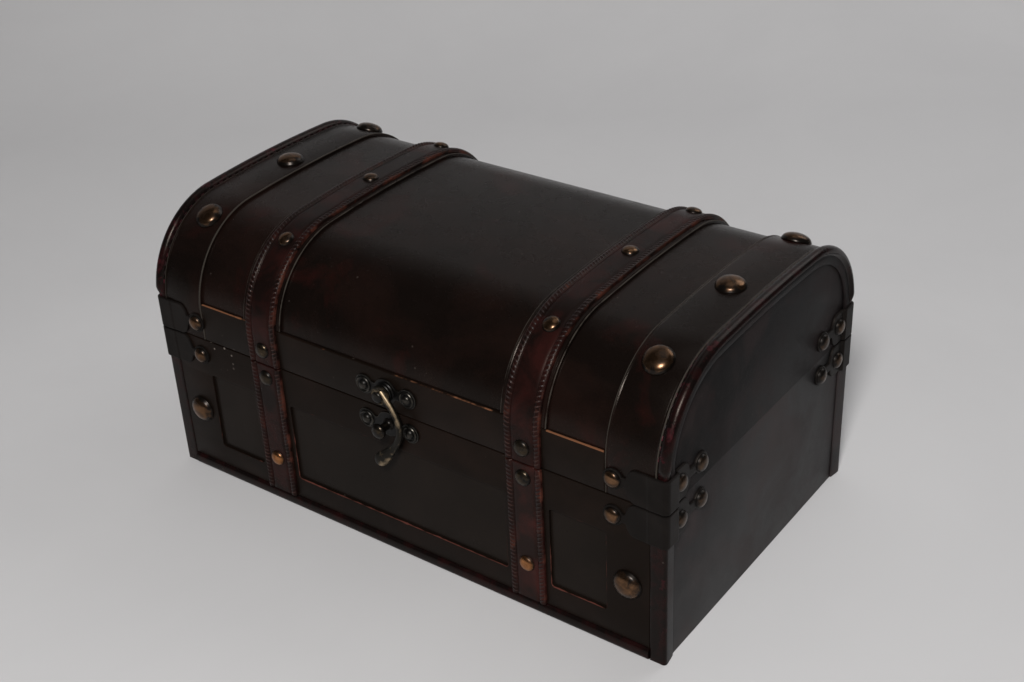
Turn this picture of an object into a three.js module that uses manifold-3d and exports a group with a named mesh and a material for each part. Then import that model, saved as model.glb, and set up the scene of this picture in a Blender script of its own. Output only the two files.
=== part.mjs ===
// A small domed storage chest: thin boards under leatherette, two nailed leather straps,
// a swinging horn hook on the front and two butt hinges behind.
// Millimetres. X runs along the length, the front faces -Y, Z is up, and the chest stands on z = 0.

import * as THREE from "three";
import { mergeVertices } from "three/addons/utils/BufferGeometryUtils.js";
import Module from "manifold-3d";

const wasm = await Module();
wasm.setup();

// Overall sizes
const LENGTH = 350; // over the corner bindings
const DEPTH = 200; // over the bare boards, front to back
const BASE_HEIGHT = 96.5;
const LID_HEIGHT = 71.5; // from the seam to the crown of the bare dome
const SEAM = 0.5; // open line between the base and the closed lid

// Boards
const WALL = 6;
const FLOOR = 5;
const SHELL = 4; // the bent sheet of the dome
const GLUE = 0.1; // between two layers that are stuck together

// The arched section of the lid
const SHOULDER_RADIUS = 52;
const CROWN_RADIUS = 900;
const SHOULDER_STEPS = 9;
const CROWN_STEPS = 5;

// The leatherette overlay
const LAYER = 1.5;
const EDGE_BAND = 26; // wide band at each end of the lid, and the frame's end stiles below it
const BACKING = 28.5; // under each strap
const RAIL_HEIGHT = 24; // above the seam, and the frame's top rail below it
const FOOT_RAIL = 14; // the frame's bottom rail
const WINDOW_RADIUS = 1.6;
const WINDOW_EASE = 0.5; // the soft edge of each opening

// Bindings, beads and the lid's piping
const BINDING_REACH = 9.5;
const BINDING = 1.8; // thickness
const BINDING_RADIUS = 1.8;
const CORNER_STEPS = 4; // facets round a corner
const FOOT_BEAD_HEIGHT = 7.6;
const FOOT_BEAD_DEPTH = 3.2;
const FOOT_BEAD_ROUND = 0.85; // its edges' radius as a share of its depth
const PIPING_WIDTH = 5.6;
const PIPING_RISE = 2.4; // above the leatherette
const PIPING_BULGE = 1.1; // of the bead beyond the flange
const PIPING_FLANGE = 6.5; // down over the end board
const PIPING_GROOVE_DROP = 1.8; // below the bead's middle
const PIPING_GROOVE_HEIGHT = 1.2;
const PIPING_LIP = 0.8; // the sloped lower edge of the flange
const PIPING_FADE = 5; // length over which the bead is pressed flat beside a patch

// Straps
const STRAP_SPACING = 181;
const STRAP_WIDTH = 22;
const STRAP_THICK = 1.7;
const STRAP_ROLL = 2.5; // height of the rolled edges
const STRAP_ROLL_WIDTH = 3.8;

// Nails
const SMALL_NAIL_RADIUS = 4.9;
const SMALL_NAIL_RISE = 2.7;
const SMALL_NAIL_SIDES = 10;
const BIG_NAIL_RADIUS = 8.5;
const BIG_NAIL_RISE = 4.6;
const BIG_NAIL_SIDES = 14;
const NAIL_RIM = 0.16; // the upright rim's share of a nail's rise
const NAIL_SINK = 0.4; // how far a small nail's rim presses into the leather
const LID_STRAP_NAILS_Y = [-72, 1, 67];
const LID_STRAP_NAIL_LIFT = 9.5; // the lowest nails of the lid's straps, above the seam
const BASE_STRAP_NAIL_DROP = 8.5; // the upper nails of the base's straps, below its edge
const BASE_STRAP_LOW_NAIL_Z = 32;
const BIG_NAILS_Y = [-72, -2, 71];
const BASE_BIG_NAIL_Z = 44.5;

// Corner patches
const PATCH = 1.2; // thickness
const PATCH_HEIGHT = 19.8;
const PATCH_LOBE = 23.5; // the main lobe's reach from the corner, both ways
const PATCH_LOBE_ROUND = 6;
const PATCH_EDGE_GAP = 0.2; // between a patch and the edge of the lid or base it is cut along
const PATCH_NAIL_LIFT = 10.8; // nail row, from that edge
const PATCH_FRONT_NAIL = 30.6; // from the corner, along the front
const PATCH_END_NAIL = 34.5; // from the corner, along the end
const PATCH_TIP_RADIUS = 5.9;
const PATCH_NECK = 2.6; // half height of the neck
const PATCH_RAMP = 1.6; // length of the step down from a binding to the face beside it
const PATCH_STEP = 3; // between the stations along a patch

// Latch
const LATCH_PLATE = 1; // thickness
const LATCH_MIDDLE_RADIUS = 7.6; // the plates' round middle
const LATCH_NECK = 3.2; // half height of the bar between a plate's nails
const LATCH_LOBE_MARGIN = 1.4; // of a plate round its nails
const LATCH_NAIL_SPACING = 30;
const LATCH_NAIL_RADIUS = 4.5;
const LATCH_NAIL_RISE = 2.3;
const LATCH_NAIL_LIFT = 12; // upper plate's nails above the seam
const KEEPER_NAIL_DROP = 9.5; // lower plate's nails below the base's edge
const PIVOT_LIFT = 12; // the hook's pivot above the seam
const KEEPER_DROP = 8.5; // the stud below the base's edge
// The horn's middle line as a start, two handles and an end, each to the right of the pivot and above it
const HOOK_LINE = [
  [0, 3.6],
  [13.5, -11.8],
  [20, -21.9],
  [-5.5, -44.5],
];
const HOOK_THICK = 3.6;
const HOOK_WAIST = 2; // half width of the horn beside its eye
const HOOK_BULB = 4.2; // half width of the horn near its tip
const HOOK_BULB_DEPTH = 3.1; // half of its thickness there
const HOOK_SWELL = [0.62, 0.93]; // where the horn widens, as shares of its length
const HOOK_TIP = 0.08; // share of the length that rounds off the tip
const HOOK_STEPS = 26;
const HOOK_CROWDING = 1.5; // crowds the sections towards the tip. 1 spaces them evenly
const HOOK_SECTION_POINTS = 10;
const HOOK_EYE_RADIUS = 5.6;
const EYE_SIDES = 16;
const PIVOT_RADIUS = 2;
const PIVOT_PLAY = 0.06;
const RIVET_HEAD_RADIUS = 3.4;
const RIVET_HEAD_RISE = 1.5;
const STUD_RADIUS = 2.3;
const STUD_FOOT = 1.5; // height and spread of the stud's flared foot
const KNOB_RADIUS = 4.6;
const KNOB_HEIGHT = 4;
const HOOK_GAP = 0.3; // between the swinging hook and what is before and behind it

// Hinges
const HINGE_SPACING = 100;
const HINGE_WIDTH = 30;
const HINGE_LEAF_HEIGHT = 13;
const HINGE_LEAF = 1;
const KNUCKLE_RADIUS = 2.6;
const KNUCKLES = 5;
const KNUCKLE_SIDES = 12;
const KNUCKLE_GAP = 0.3;
const HINGE_PIN_RADIUS = 1.2;
const HINGE_PIN_PLAY = 0.06;
const PIN_HEAD_RADIUS = 1.9;
const PIN_HEAD = 1.2; // thickness
const HINGE_SET_BACK = 3; // from the face of the leatherette to the pin's axis

// Places worked out from the sizes above
const halfDepth = DEPTH / 2;
const halfBox = LENGTH / 2 - BINDING - GLUE; // outer face of the end boards
const seamTop = BASE_HEIGHT + SEAM;
const overlayFace = halfDepth + GLUE + LAYER; // outer face of the leatherette on front and back
const bindingEdge = LENGTH / 2 - BINDING_REACH; // where a corner binding ends on the front
const pipingEdge = LENGTH / 2 - PIPING_WIDTH;
const bigNailX = bindingEdge - EDGE_BAND / 2;
const strapX = STRAP_SPACING / 2;
const hingeX = HINGE_SPACING / 2;
const hingeY = overlayFace + HINGE_SET_BACK;
const hingeZ = BASE_HEIGHT + SEAM / 2;
const latchFace = -(overlayFace + GLUE + LATCH_PLATE); // front of the latch plates
const hookBack = latchFace - LATCH_NAIL_RISE - HOOK_GAP;
const hookFront = hookBack - HOOK_THICK;
const pivotZ = seamTop + PIVOT_LIFT;
const studZ = BASE_HEIGHT - KEEPER_DROP;
const sides = { left: -1, right: 1 };
const faces = { front: -1, back: 1 };

// Finishes
const finish = (color, roughness, metalness) =>
  new THREE.MeshStandardMaterial({ color, roughness, metalness });
const darkLeatherette = finish(0x2b2422, 0.55, 0);
const panelLeatherette = finish(0x3a3636, 0.5, 0);
const oxblood = finish(0x4a1f1c, 0.4, 0);
const blackLeather = finish(0x1d1a1a, 0.45, 0);
const antiqueBrass = finish(0x8a6a3c, 0.35, 1);
const board = finish(0x7b5a3c, 0.7, 0);

// Turns a closed geometry into a solid that can be joined and cut
function solidOf(geometry) {
  const flat = geometry.index ? geometry.toNonIndexed() : geometry.clone();
  flat.deleteAttribute("normal");
  flat.deleteAttribute("uv");
  const merged = mergeVertices(flat, 1e-3);
  const mesh = new wasm.Mesh({
    numProp: 3,
    vertProperties: merged.attributes.position.array,
    triVerts: new Uint32Array(merged.index.array),
  });
  return new wasm.Manifold(mesh);
}

// Turns a solid back into a geometry
function geometryOf(solid) {
  const mesh = solid.getMesh();
  const geometry = new THREE.BufferGeometry();
  geometry.setAttribute("position", new THREE.BufferAttribute(mesh.vertProperties, 3));
  geometry.setIndex(new THREE.BufferAttribute(mesh.triVerts, 1));
  geometry.computeVertexNormals();
  return geometry;
}

// Joins the first geometry with the others
function join(first, ...others) {
  let solid = solidOf(first);
  for (const other of others) solid = solid.add(solidOf(other));
  return geometryOf(solid);
}

// Takes the cutters out of a geometry
function cut(body, ...cutters) {
  let solid = solidOf(body);
  for (const cutter of cutters) solid = solid.subtract(solidOf(cutter));
  return geometryOf(solid);
}

// A block between two corners
function block(low, high) {
  const box = new THREE.BoxGeometry(high[0] - low[0], high[1] - low[1], high[2] - low[2]);
  return box.translate((low[0] + high[0]) / 2, (low[1] + high[1]) / 2, (low[2] + high[2]) / 2);
}

// A round bar along an axis between two places, its corners at the given radius
function bar(axis, radius, from, to, sideCount) {
  const rod = new THREE.CylinderGeometry(radius, radius, to - from, sideCount);
  rod.translate(0, (from + to) / 2, 0);
  if (axis === "x") rod.rotateZ(-Math.PI / 2);
  if (axis === "z") rod.rotateX(Math.PI / 2);
  return rod;
}

// The radius at which a faceted hole's flats clear a round pin
function holeRadius(pinRadius, play, sideCount) {
  return (pinRadius + play) / Math.cos(Math.PI / sideCount);
}

// Extrudes an outline drawn in the YZ plane along X
function extrudeAlongX(shape, from, to, options = {}) {
  const settings = { depth: to - from, bevelEnabled: false, curveSegments: 6, ...options };
  const geometry = new THREE.ExtrudeGeometry(shape, settings);
  const cycle = new THREE.Matrix4().makeBasis(
    new THREE.Vector3(0, 1, 0),
    new THREE.Vector3(0, 0, 1),
    new THREE.Vector3(1, 0, 0),
  );
  return geometry.applyMatrix4(cycle).translate(from, 0, 0);
}

// Skins a closed body over rings with equal numbers of points. The first and last rings are
// capped with the triangles of the flat outline that the rings follow.
function loft(rings, outline) {
  const count = rings[0].length;
  const positions = rings.flat().flatMap((point) => [point.x, point.y, point.z]);
  const faceList = [];
  for (let ring = 0; ring < rings.length - 1; ring++) {
    for (let i = 0; i < count; i++) {
      const a = ring * count + i;
      const b = ring * count + ((i + 1) % count);
      faceList.push(a, b, b + count, a, b + count, a + count);
    }
  }
  const ccw = !THREE.ShapeUtils.isClockWise(outline);
  const last = (rings.length - 1) * count;
  for (const [a, b, c] of THREE.ShapeUtils.triangulateShape(outline, [])) {
    const start = ccw ? [a, c, b] : [a, b, c];
    faceList.push(...start);
    faceList.push(last + start[0], last + start[2], last + start[1]);
  }
  const geometry = new THREE.BufferGeometry();
  geometry.setAttribute("position", new THREE.Float32BufferAttribute(positions, 3));
  geometry.setIndex(faceList);
  return facingOut(geometry);
}

// Turns every face round if the faces of a closed geometry point inwards
function facingOut(geometry) {
  const position = geometry.attributes.position;
  const index = geometry.index.array;
  const corner = [0, 1, 2].map(() => new THREE.Vector3());
  let volume = 0;
  for (let i = 0; i < index.length; i += 3) {
    corner.forEach((vector, k) => vector.fromBufferAttribute(position, index[i + k]));
    volume += corner[0].dot(corner[1].cross(corner[2]));
  }
  if (volume < 0) {
    for (let i = 0; i < index.length; i += 3) {
      [index[i + 1], index[i + 2]] = [index[i + 2], index[i + 1]];
    }
  }
  geometry.computeVertexNormals();
  return geometry;
}

// The bare dome's outline, from the front seam over the crown to the back seam: a place (y, z), the
// way out of the surface (ny, nz) and the distance along the outline at each station.
function domeOutline() {
  const shoulderY = halfDepth - SHOULDER_RADIUS;
  const crownDrop = Math.sqrt((CROWN_RADIUS - SHOULDER_RADIUS) ** 2 - shoulderY ** 2);
  const springZ = seamTop + LID_HEIGHT - (CROWN_RADIUS - crownDrop);
  const crownAngle = Math.atan2(shoulderY, crownDrop);
  const shoulderAngle = Math.PI / 2 - crownAngle;
  const stations = [{ y: -halfDepth, z: seamTop, ny: -1, nz: 0 }];
  for (let i = 0; i <= SHOULDER_STEPS; i++) {
    const angle = (shoulderAngle * i) / SHOULDER_STEPS;
    const ny = -Math.cos(angle);
    const nz = Math.sin(angle);
    stations.push({
      y: -shoulderY + SHOULDER_RADIUS * ny,
      z: springZ + SHOULDER_RADIUS * nz,
      ny,
      nz,
    });
  }
  for (let i = 1; i < CROWN_STEPS; i++) {
    const angle = crownAngle * ((2 * i) / CROWN_STEPS - 1);
    const ny = Math.sin(angle);
    const nz = Math.cos(angle);
    stations.push({ y: CROWN_RADIUS * ny, z: springZ - crownDrop + CROWN_RADIUS * nz, ny, nz });
  }
  const firstHalf = stations.slice(0, SHOULDER_STEPS + 2);
  for (const station of firstHalf.reverse()) {
    stations.push({ y: -station.y, z: station.z, ny: -station.ny, nz: station.nz });
  }
  let along = 0;
  stations.forEach((station, i) => {
    if (i) along += Math.hypot(station.y - stations[i - 1].y, station.z - stations[i - 1].z);
    station.along = along;
  });
  return stations;
}

const dome = domeOutline();
const domeLength = dome.at(-1).along;

// The station at a distance along the dome's outline, on the same facets as the dome itself
function domeAt(along) {
  const next = Math.max(1, dome.findIndex((station) => station.along >= along));
  const a = dome[next - 1];
  const b = dome[next];
  const share = (along - a.along) / (b.along - a.along);
  const mix = (key) => a[key] + (b[key] - a[key]) * share;
  return { y: mix("y"), z: mix("z"), ny: mix("ny"), nz: mix("nz"), along };
}

// The stations of the dome between two distances along its outline
function domeBetween(from, to) {
  const inside = dome.filter((station) => station.along > from + 0.01 && station.along < to - 0.01);
  return [domeAt(from), ...inside, domeAt(to)];
}

// The station of the dome at a height above the seam, on the front or the back
function domeAtLift(lift, face) {
  const next = dome.findIndex((station) => station.z >= seamTop + lift);
  const a = dome[next - 1];
  const b = dome[next];
  const along = a.along + ((seamTop + lift - a.z) / (b.z - a.z)) * (b.along - a.along);
  return domeAt(face < 0 ? along : domeLength - along);
}

// The station of the dome at a distance from its middle, front to back
function domeAtY(y) {
  const next = dome.findIndex((station) => station.y >= y && station.nz > 0);
  const a = dome[next - 1];
  const b = dome[next];
  return domeAt(a.along + ((y - a.y) / (b.y - a.y)) * (b.along - a.along));
}

// The stations of the base's front or back wall between two heights
function wallBetween(face, low, high) {
  const stations = [low, high].map((z) => ({ y: face * halfDepth, z, ny: face, nz: 0 }));
  return face < 0 ? stations : stations.reverse();
}

// Sweeps a section along stations. A section's points hold a place along X and a height above the
// surface, and sectionAt may draw another section of as many points at each station.
function sweep(stations, sectionAt) {
  const rings = stations.map((station) =>
    sectionAt(station).map(
      ([x, rise]) =>
        new THREE.Vector3(x, station.y + station.ny * rise, station.z + station.nz * rise),
    ),
  );
  const outline = sectionAt(stations[0]).map(([x, rise]) => new THREE.Vector2(x, rise));
  return loft(rings, outline);
}

// A flat strip of a section: from one x to another, between two heights above the surface
const strip = (x0, x1, bottom, top) => () => [
  [x0, bottom],
  [x1, bottom],
  [x1, top],
  [x0, top],
];

// A domed nail head, its flat back on y = 0 and its dome along +Y, with a bed below the back
function nailHead(radius, rise, sideCount, bed) {
  const rim = rise * NAIL_RIM;
  const points = [new THREE.Vector2(0, -bed), new THREE.Vector2(radius, -bed)];
  for (const angle of [0, 42]) {
    const turn = THREE.MathUtils.degToRad(angle);
    points.push(new THREE.Vector2(radius * Math.cos(turn), rim + (rise - rim) * Math.sin(turn)));
  }
  points.push(new THREE.Vector2(0, rise));
  return new THREE.LatheGeometry(points, sideCount);
}

// Sets a piece made along +Y on the surface at a station, at an x and a height above the surface
function setOn(geometry, station, x, rise) {
  const outward = new THREE.Vector3(0, station.ny, station.nz).normalize();
  const turn = new THREE.Quaternion().setFromUnitVectors(new THREE.Vector3(0, 1, 0), outward);
  const place = new THREE.Vector3(
    x,
    station.y + station.ny * rise,
    station.z + station.nz * rise,
  );
  const matrix = new THREE.Matrix4().compose(place, turn, new THREE.Vector3(1, 1, 1));
  return geometry.applyMatrix4(matrix);
}

const chest = new THREE.Group();
const base = new THREE.Group();
const lid = new THREE.Group();
const hook = new THREE.Group();
chest.add(base, lid, hook);

function add(group, name, geometry, material) {
  const mesh = new THREE.Mesh(geometry, material);
  mesh.name = name;
  group.add(mesh);
  return mesh;
}

// The base's boards. The ends stand between front and back, and the bottom lies inside all four.
function addBaseBoards() {
  const inner = halfDepth - WALL;
  for (const [word, face] of Object.entries(faces)) {
    const near = Math.min(face * inner, face * halfDepth);
    const geometry = block([-halfBox, near, 0], [halfBox, near + WALL, BASE_HEIGHT]);
    add(base, `base_${word}_board`, geometry, board);
  }
  for (const [word, side] of Object.entries(sides)) {
    const near = Math.min(side * (halfBox - WALL), side * halfBox);
    const reach = inner - GLUE;
    const geometry = block([near, -reach, 0], [near + WALL, reach, BASE_HEIGHT]);
    add(base, `base_${word}_end_board`, geometry, board);
  }
  const insideX = halfBox - WALL - GLUE;
  const insideY = inner - GLUE;
  const bottom = block([-insideX, -insideY, 0], [insideX, insideY, FLOOR]);
  add(base, "base_bottom_board", bottom, board);
}

// A rectangle with round corners, drawn as an outline or as an opening
function roundedRectangle(path, x0, y0, x1, y1, radius) {
  path.moveTo(x0 + radius, y0);
  path.lineTo(x1 - radius, y0);
  path.absarc(x1 - radius, y0 + radius, radius, -Math.PI / 2, 0, false);
  path.lineTo(x1, y1 - radius);
  path.absarc(x1 - radius, y1 - radius, radius, 0, Math.PI / 2, false);
  path.lineTo(x0 + radius, y1);
  path.absarc(x0 + radius, y1 - radius, radius, Math.PI / 2, Math.PI, false);
  path.lineTo(x0, y0 + radius);
  path.absarc(x0 + radius, y0 + radius, radius, Math.PI, 1.5 * Math.PI, false);
  return path;
}

// The leatherette frame on the front and on the back, with three windows between its rails
function addBaseFrames() {
  const outer = bindingEdge - 2 * GLUE;
  const low = FOOT_BEAD_HEIGHT + 2 * GLUE;
  const high = BASE_HEIGHT - 2 * GLUE;
  const windowLow = FOOT_BEAD_HEIGHT + FOOT_RAIL;
  const windowHigh = BASE_HEIGHT - RAIL_HEIGHT;
  const bays = [
    [-(bindingEdge - EDGE_BAND), -(strapX + BACKING / 2)],
    [-(strapX - BACKING / 2), strapX - BACKING / 2],
    [strapX + BACKING / 2, bindingEdge - EDGE_BAND],
  ];
  for (const [word, face] of Object.entries(faces)) {
    const shape = new THREE.Shape();
    shape.moveTo(-outer, low).lineTo(outer, low).lineTo(outer, high).lineTo(-outer, high);
    for (const [x0, x1] of bays) {
      const opening = new THREE.Path();
      shape.holes.push(
        roundedRectangle(opening, x0, windowLow, x1, windowHigh, WINDOW_RADIUS),
      );
    }
    const geometry = new THREE.ExtrudeGeometry(shape, {
      depth: LAYER - WINDOW_EASE,
      curveSegments: 3,
      bevelThickness: WINDOW_EASE,
      bevelSize: WINDOW_EASE,
      bevelOffset: -WINDOW_EASE,
      bevelSegments: 1,
    });
    // The front of the bevelled plate faces out, and its back bevel is trimmed away
    geometry.rotateX(Math.PI / 2);
    geometry.translate(0, -(halfDepth + GLUE), 0);
    const behind = block(
      [-LENGTH, -(halfDepth + GLUE), -BASE_HEIGHT],
      [LENGTH, 0, 2 * BASE_HEIGHT],
    );
    const mesh = add(base, `base_${word}_frame`, cut(geometry, behind), darkLeatherette);
    if (face > 0) mesh.rotation.z = Math.PI;
  }
}

// The round-fronted bead along the foot of the front and of the back
function addFootBeads() {
  const outer = bindingEdge - 2 * GLUE;
  const radius = FOOT_BEAD_DEPTH * FOOT_BEAD_ROUND;
  const back = halfDepth + GLUE;
  const front = back + FOOT_BEAD_DEPTH;
  for (const [word, face] of Object.entries(faces)) {
    const shape = new THREE.Shape();
    shape.moveTo(back, 0);
    shape.lineTo(front - radius, 0);
    shape.absarc(front - radius, radius, radius, -Math.PI / 2, 0, false);
    shape.lineTo(front, FOOT_BEAD_HEIGHT - radius);
    shape.absarc(front - radius, FOOT_BEAD_HEIGHT - radius, radius, 0, Math.PI / 2, false);
    shape.lineTo(back, FOOT_BEAD_HEIGHT);
    const mesh = add(
      base,
      `base_${word}_foot_bead`,
      extrudeAlongX(shape, -outer, outer),
      oxblood,
    );
    if (face < 0) mesh.rotation.z = Math.PI;
  }
}

// The bindings that fold round the base's four upright corners
function addCornerBindings() {
  const outX = LENGTH / 2;
  const outY = halfDepth + GLUE + BINDING;
  const inX = halfBox + GLUE;
  const inY = halfDepth + GLUE;
  const ease = BINDING * 0.4;
  const round = BINDING_RADIUS;
  const shape = new THREE.Shape();
  shape.moveTo(inX, inY);
  shape.lineTo(bindingEdge, inY);
  shape.lineTo(bindingEdge, outY - ease);
  shape.absarc(bindingEdge + ease, outY - ease, ease, Math.PI, Math.PI / 2, true);
  shape.lineTo(outX - round, outY);
  shape.absarc(outX - round, outY - round, round, Math.PI / 2, 0, true);
  shape.lineTo(outX, outY - BINDING_REACH + ease);
  shape.absarc(outX - ease, outY - BINDING_REACH + ease, ease, 0, -Math.PI / 2, true);
  shape.lineTo(inX, outY - BINDING_REACH);
  const geometry = new THREE.ExtrudeGeometry(shape, {
    depth: BASE_HEIGHT,
    bevelEnabled: false,
    curveSegments: CORNER_STEPS,
  });
  for (const [faceWord, face] of Object.entries(faces)) {
    for (const [sideWord, side] of Object.entries(sides)) {
      const name = `base_binding_${faceWord}_${sideWord}`;
      add(base, name, geometry, oxblood).scale.set(side, face, 1);
    }
  }
}

// The bent sheet of the dome and the two arched boards that close its ends
function addDome() {
  const sheet = sweep(dome, strip(-halfBox, halfBox, -SHELL, 0));
  add(lid, "lid_dome", sheet, darkLeatherette);
  const shape = new THREE.Shape(
    dome.map(
      ({ y, z, ny, nz }) =>
        new THREE.Vector2(y - ny * (SHELL + GLUE), z - nz * (SHELL + GLUE)),
    ),
  );
  for (const [word, side] of Object.entries(sides)) {
    const near = side < 0 ? -halfBox : halfBox - WALL;
    const geometry = extrudeAlongX(shape, near, near + WALL);
    add(lid, `lid_${word}_end_board`, geometry, panelLeatherette);
  }
}

// The leatherette on the dome: a band at each end, rails along the seam and a backing per strap
function addLidOverlay() {
  const bottom = GLUE;
  const top = GLUE + LAYER;
  const bandOuter = pipingEdge - 2 * GLUE;
  const bandInner = bindingEdge - EDGE_BAND;
  const railTop = domeAtLift(RAIL_HEIGHT, -1).along;
  const backingStart = railTop + 2 * GLUE;
  for (const [word, side] of Object.entries(sides)) {
    const x0 = side < 0 ? -bandOuter : bandInner;
    const band = sweep(dome, strip(x0, x0 + bandOuter - bandInner, bottom, top));
    add(lid, `lid_${word}_band`, band, darkLeatherette);
    const middle = side * strapX;
    const backing = sweep(
      domeBetween(backingStart, domeLength - backingStart),
      strip(middle - BACKING / 2, middle + BACKING / 2, bottom, top),
    );
    add(lid, `lid_${word}_strap_backing`, backing, darkLeatherette);
  }
  const reach = bandInner - 2 * GLUE;
  for (const [word, face] of Object.entries(faces)) {
    const stations =
      face < 0 ? domeBetween(0, railTop) : domeBetween(domeLength - railTop, domeLength);
    const rail = sweep(stations, strip(-reach, reach, bottom, top));
    add(lid, `lid_${word}_rail`, rail, darkLeatherette);
  }
}

// The section of the piping at one end of the lid. Where full is 1 it is a round bead on the edge,
// a groove and a flange down the end board, and where it is 0 it is as flat as the base's bindings.
function pipingSection(side, full) {
  const outer = LENGTH / 2;
  const inner = halfBox + GLUE;
  const flatRise = GLUE + BINDING;
  const fullRise = GLUE + LAYER + PIPING_RISE;
  const beadRadius = (outer + PIPING_BULGE - pipingEdge) / 2;
  const beadFoot = fullRise - beadRadius;
  const groove = (outer - inner) / 2;
  const flangeX = outer - groove * 0.3;
  const grooveRise = beadFoot - PIPING_GROOVE_DROP;
  const lipRise = PIPING_LIP - PIPING_FLANGE;
  const bead = [];
  const arcSteps = CORNER_STEPS + 2;
  for (let i = 0; i <= arcSteps; i++) {
    const turn = Math.PI * (1 - i / arcSteps);
    bead.push([
      pipingEdge + beadRadius * (1 + Math.cos(turn)),
      beadFoot + beadRadius * Math.sin(turn),
    ]);
  }
  bead.push([outer - groove, grooveRise], [flangeX, grooveRise - PIPING_GROOVE_HEIGHT]);
  bead.push([flangeX, lipRise], [outer - groove, -PIPING_FLANGE]);
  const ease = flatRise * 0.4;
  const pressed = [[pipingEdge, flatRise - ease * 1.5], [pipingEdge + ease, flatRise]];
  for (let i = 0; i <= CORNER_STEPS; i++) {
    const turn = (Math.PI / 2) * (1 - i / CORNER_STEPS);
    pressed.push([
      outer - BINDING_RADIUS + BINDING_RADIUS * Math.cos(turn),
      flatRise - BINDING_RADIUS + BINDING_RADIUS * Math.sin(turn),
    ]);
  }
  const roundEnd = flatRise - BINDING_RADIUS;
  for (const share of [0.2, 0.4]) {
    pressed.push([outer, roundEnd + (lipRise - roundEnd) * share]);
  }
  pressed.push([outer, lipRise], [outer - groove, -PIPING_FLANGE]);
  const curve = bead.map(([x, rise], i) => [
    pressed[i][0] + (x - pressed[i][0]) * full,
    pressed[i][1] + (rise - pressed[i][1]) * full,
  ]);
  const inside = [[inner, -PIPING_FLANGE], [inner, GLUE], [pipingEdge, GLUE]];
  return [...inside, ...curve].map(([x, rise]) => [side * x, rise]);
}

// The piping over each end of the lid. It is pressed flat where a corner patch covers it.
function addPiping() {
  const patchTop = domeAtLift(PATCH_HEIGHT + 1, -1).along;
  const fadeEnd = patchTop + PIPING_FADE;
  const sectionAt = (side) => (station) => {
    const fromSeam = Math.min(station.along, domeLength - station.along);
    return pipingSection(side, THREE.MathUtils.smoothstep(fromSeam, patchTop, fadeEnd));
  };
  const marks = [patchTop, (patchTop + fadeEnd) / 2, fadeEnd];
  const stations = [
    ...domeBetween(0, domeLength),
    ...marks.map((mark) => domeAt(mark)),
    ...marks.map((mark) => domeAt(domeLength - mark)),
  ];
  stations.sort((a, b) => a.along - b.along);
  for (const [word, side] of Object.entries(sides)) {
    add(lid, `lid_${word}_piping`, sweep(stations, sectionAt(side)), oxblood);
  }
}

// A strap's section: a flat middle between two rolled edges
function strapSection(middle) {
  const bed = 2 * GLUE + LAYER;
  const half = STRAP_WIDTH / 2;
  const roll = STRAP_ROLL_WIDTH / 2;
  const left = [[-half, 0]];
  for (const angle of [165, 100, 40]) {
    const turn = THREE.MathUtils.degToRad(angle);
    const lift = STRAP_ROLL * 0.5;
    left.push([-half + roll + roll * Math.cos(turn), lift + lift * Math.sin(turn)]);
  }
  left.push([-half + STRAP_ROLL_WIDTH, STRAP_THICK]);
  const right = left.map(([x, rise]) => [-x, rise]).reverse();
  return () => [...left, ...right].map(([x, rise]) => [middle + x, bed + rise]);
}

// A small nail driven into leather whose surface lies at the given height
function smallNail(station, x, surface) {
  const head = nailHead(SMALL_NAIL_RADIUS, SMALL_NAIL_RISE, SMALL_NAIL_SIDES, NAIL_SINK);
  return setOn(head, station, x, surface);
}

// The straps over the lid and down the front and back of the base
function addStraps() {
  const surface = 2 * GLUE + LAYER + STRAP_THICK;
  const endGap = 2 * GLUE;
  for (const [sideWord, side] of Object.entries(sides)) {
    const x = side * strapX;
    const over = sweep(domeBetween(endGap, domeLength - endGap), strapSection(x));
    const places = [
      domeAtLift(LID_STRAP_NAIL_LIFT, -1),
      ...LID_STRAP_NAILS_Y.map(domeAtY),
      domeAtLift(LID_STRAP_NAIL_LIFT, 1),
    ];
    const nails = places.map((place) => smallNail(place, x, surface));
    add(lid, `lid_${sideWord}_strap`, join(over, ...nails), oxblood);
    for (const [faceWord, face] of Object.entries(faces)) {
      const low = FOOT_BEAD_HEIGHT + endGap;
      const drop = sweep(wallBetween(face, low, BASE_HEIGHT - endGap), strapSection(x));
      const heights = [BASE_STRAP_LOW_NAIL_Z, BASE_HEIGHT - BASE_STRAP_NAIL_DROP];
      const studs = heights.map((z) =>
        smallNail({ y: face * halfDepth, z, ny: face, nz: 0 }, x, surface),
      );
      add(base, `base_strap_${faceWord}_${sideWord}`, join(drop, ...studs), oxblood);
    }
  }
}

// The big domed nails, three on each end band of the lid and one low at each end of the base
function addBigNails() {
  const rise = 2 * GLUE + LAYER;
  const head = () => nailHead(BIG_NAIL_RADIUS, BIG_NAIL_RISE, BIG_NAIL_SIDES, 0);
  for (const [sideWord, side] of Object.entries(sides)) {
    ["front", "top", "back"].forEach((word, i) => {
      const geometry = setOn(head(), domeAtY(BIG_NAILS_Y[i]), side * bigNailX, rise);
      add(lid, `lid_big_nail_${word}_${sideWord}`, geometry, antiqueBrass);
    });
    for (const [faceWord, face] of Object.entries(faces)) {
      const station = { y: face * halfDepth, z: BASE_BIG_NAIL_Z, ny: face, nz: 0 };
      const geometry = setOn(head(), station, side * bigNailX, rise);
      add(base, `base_big_nail_${faceWord}_${sideWord}`, geometry, antiqueBrass);
    }
  }
}

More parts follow.
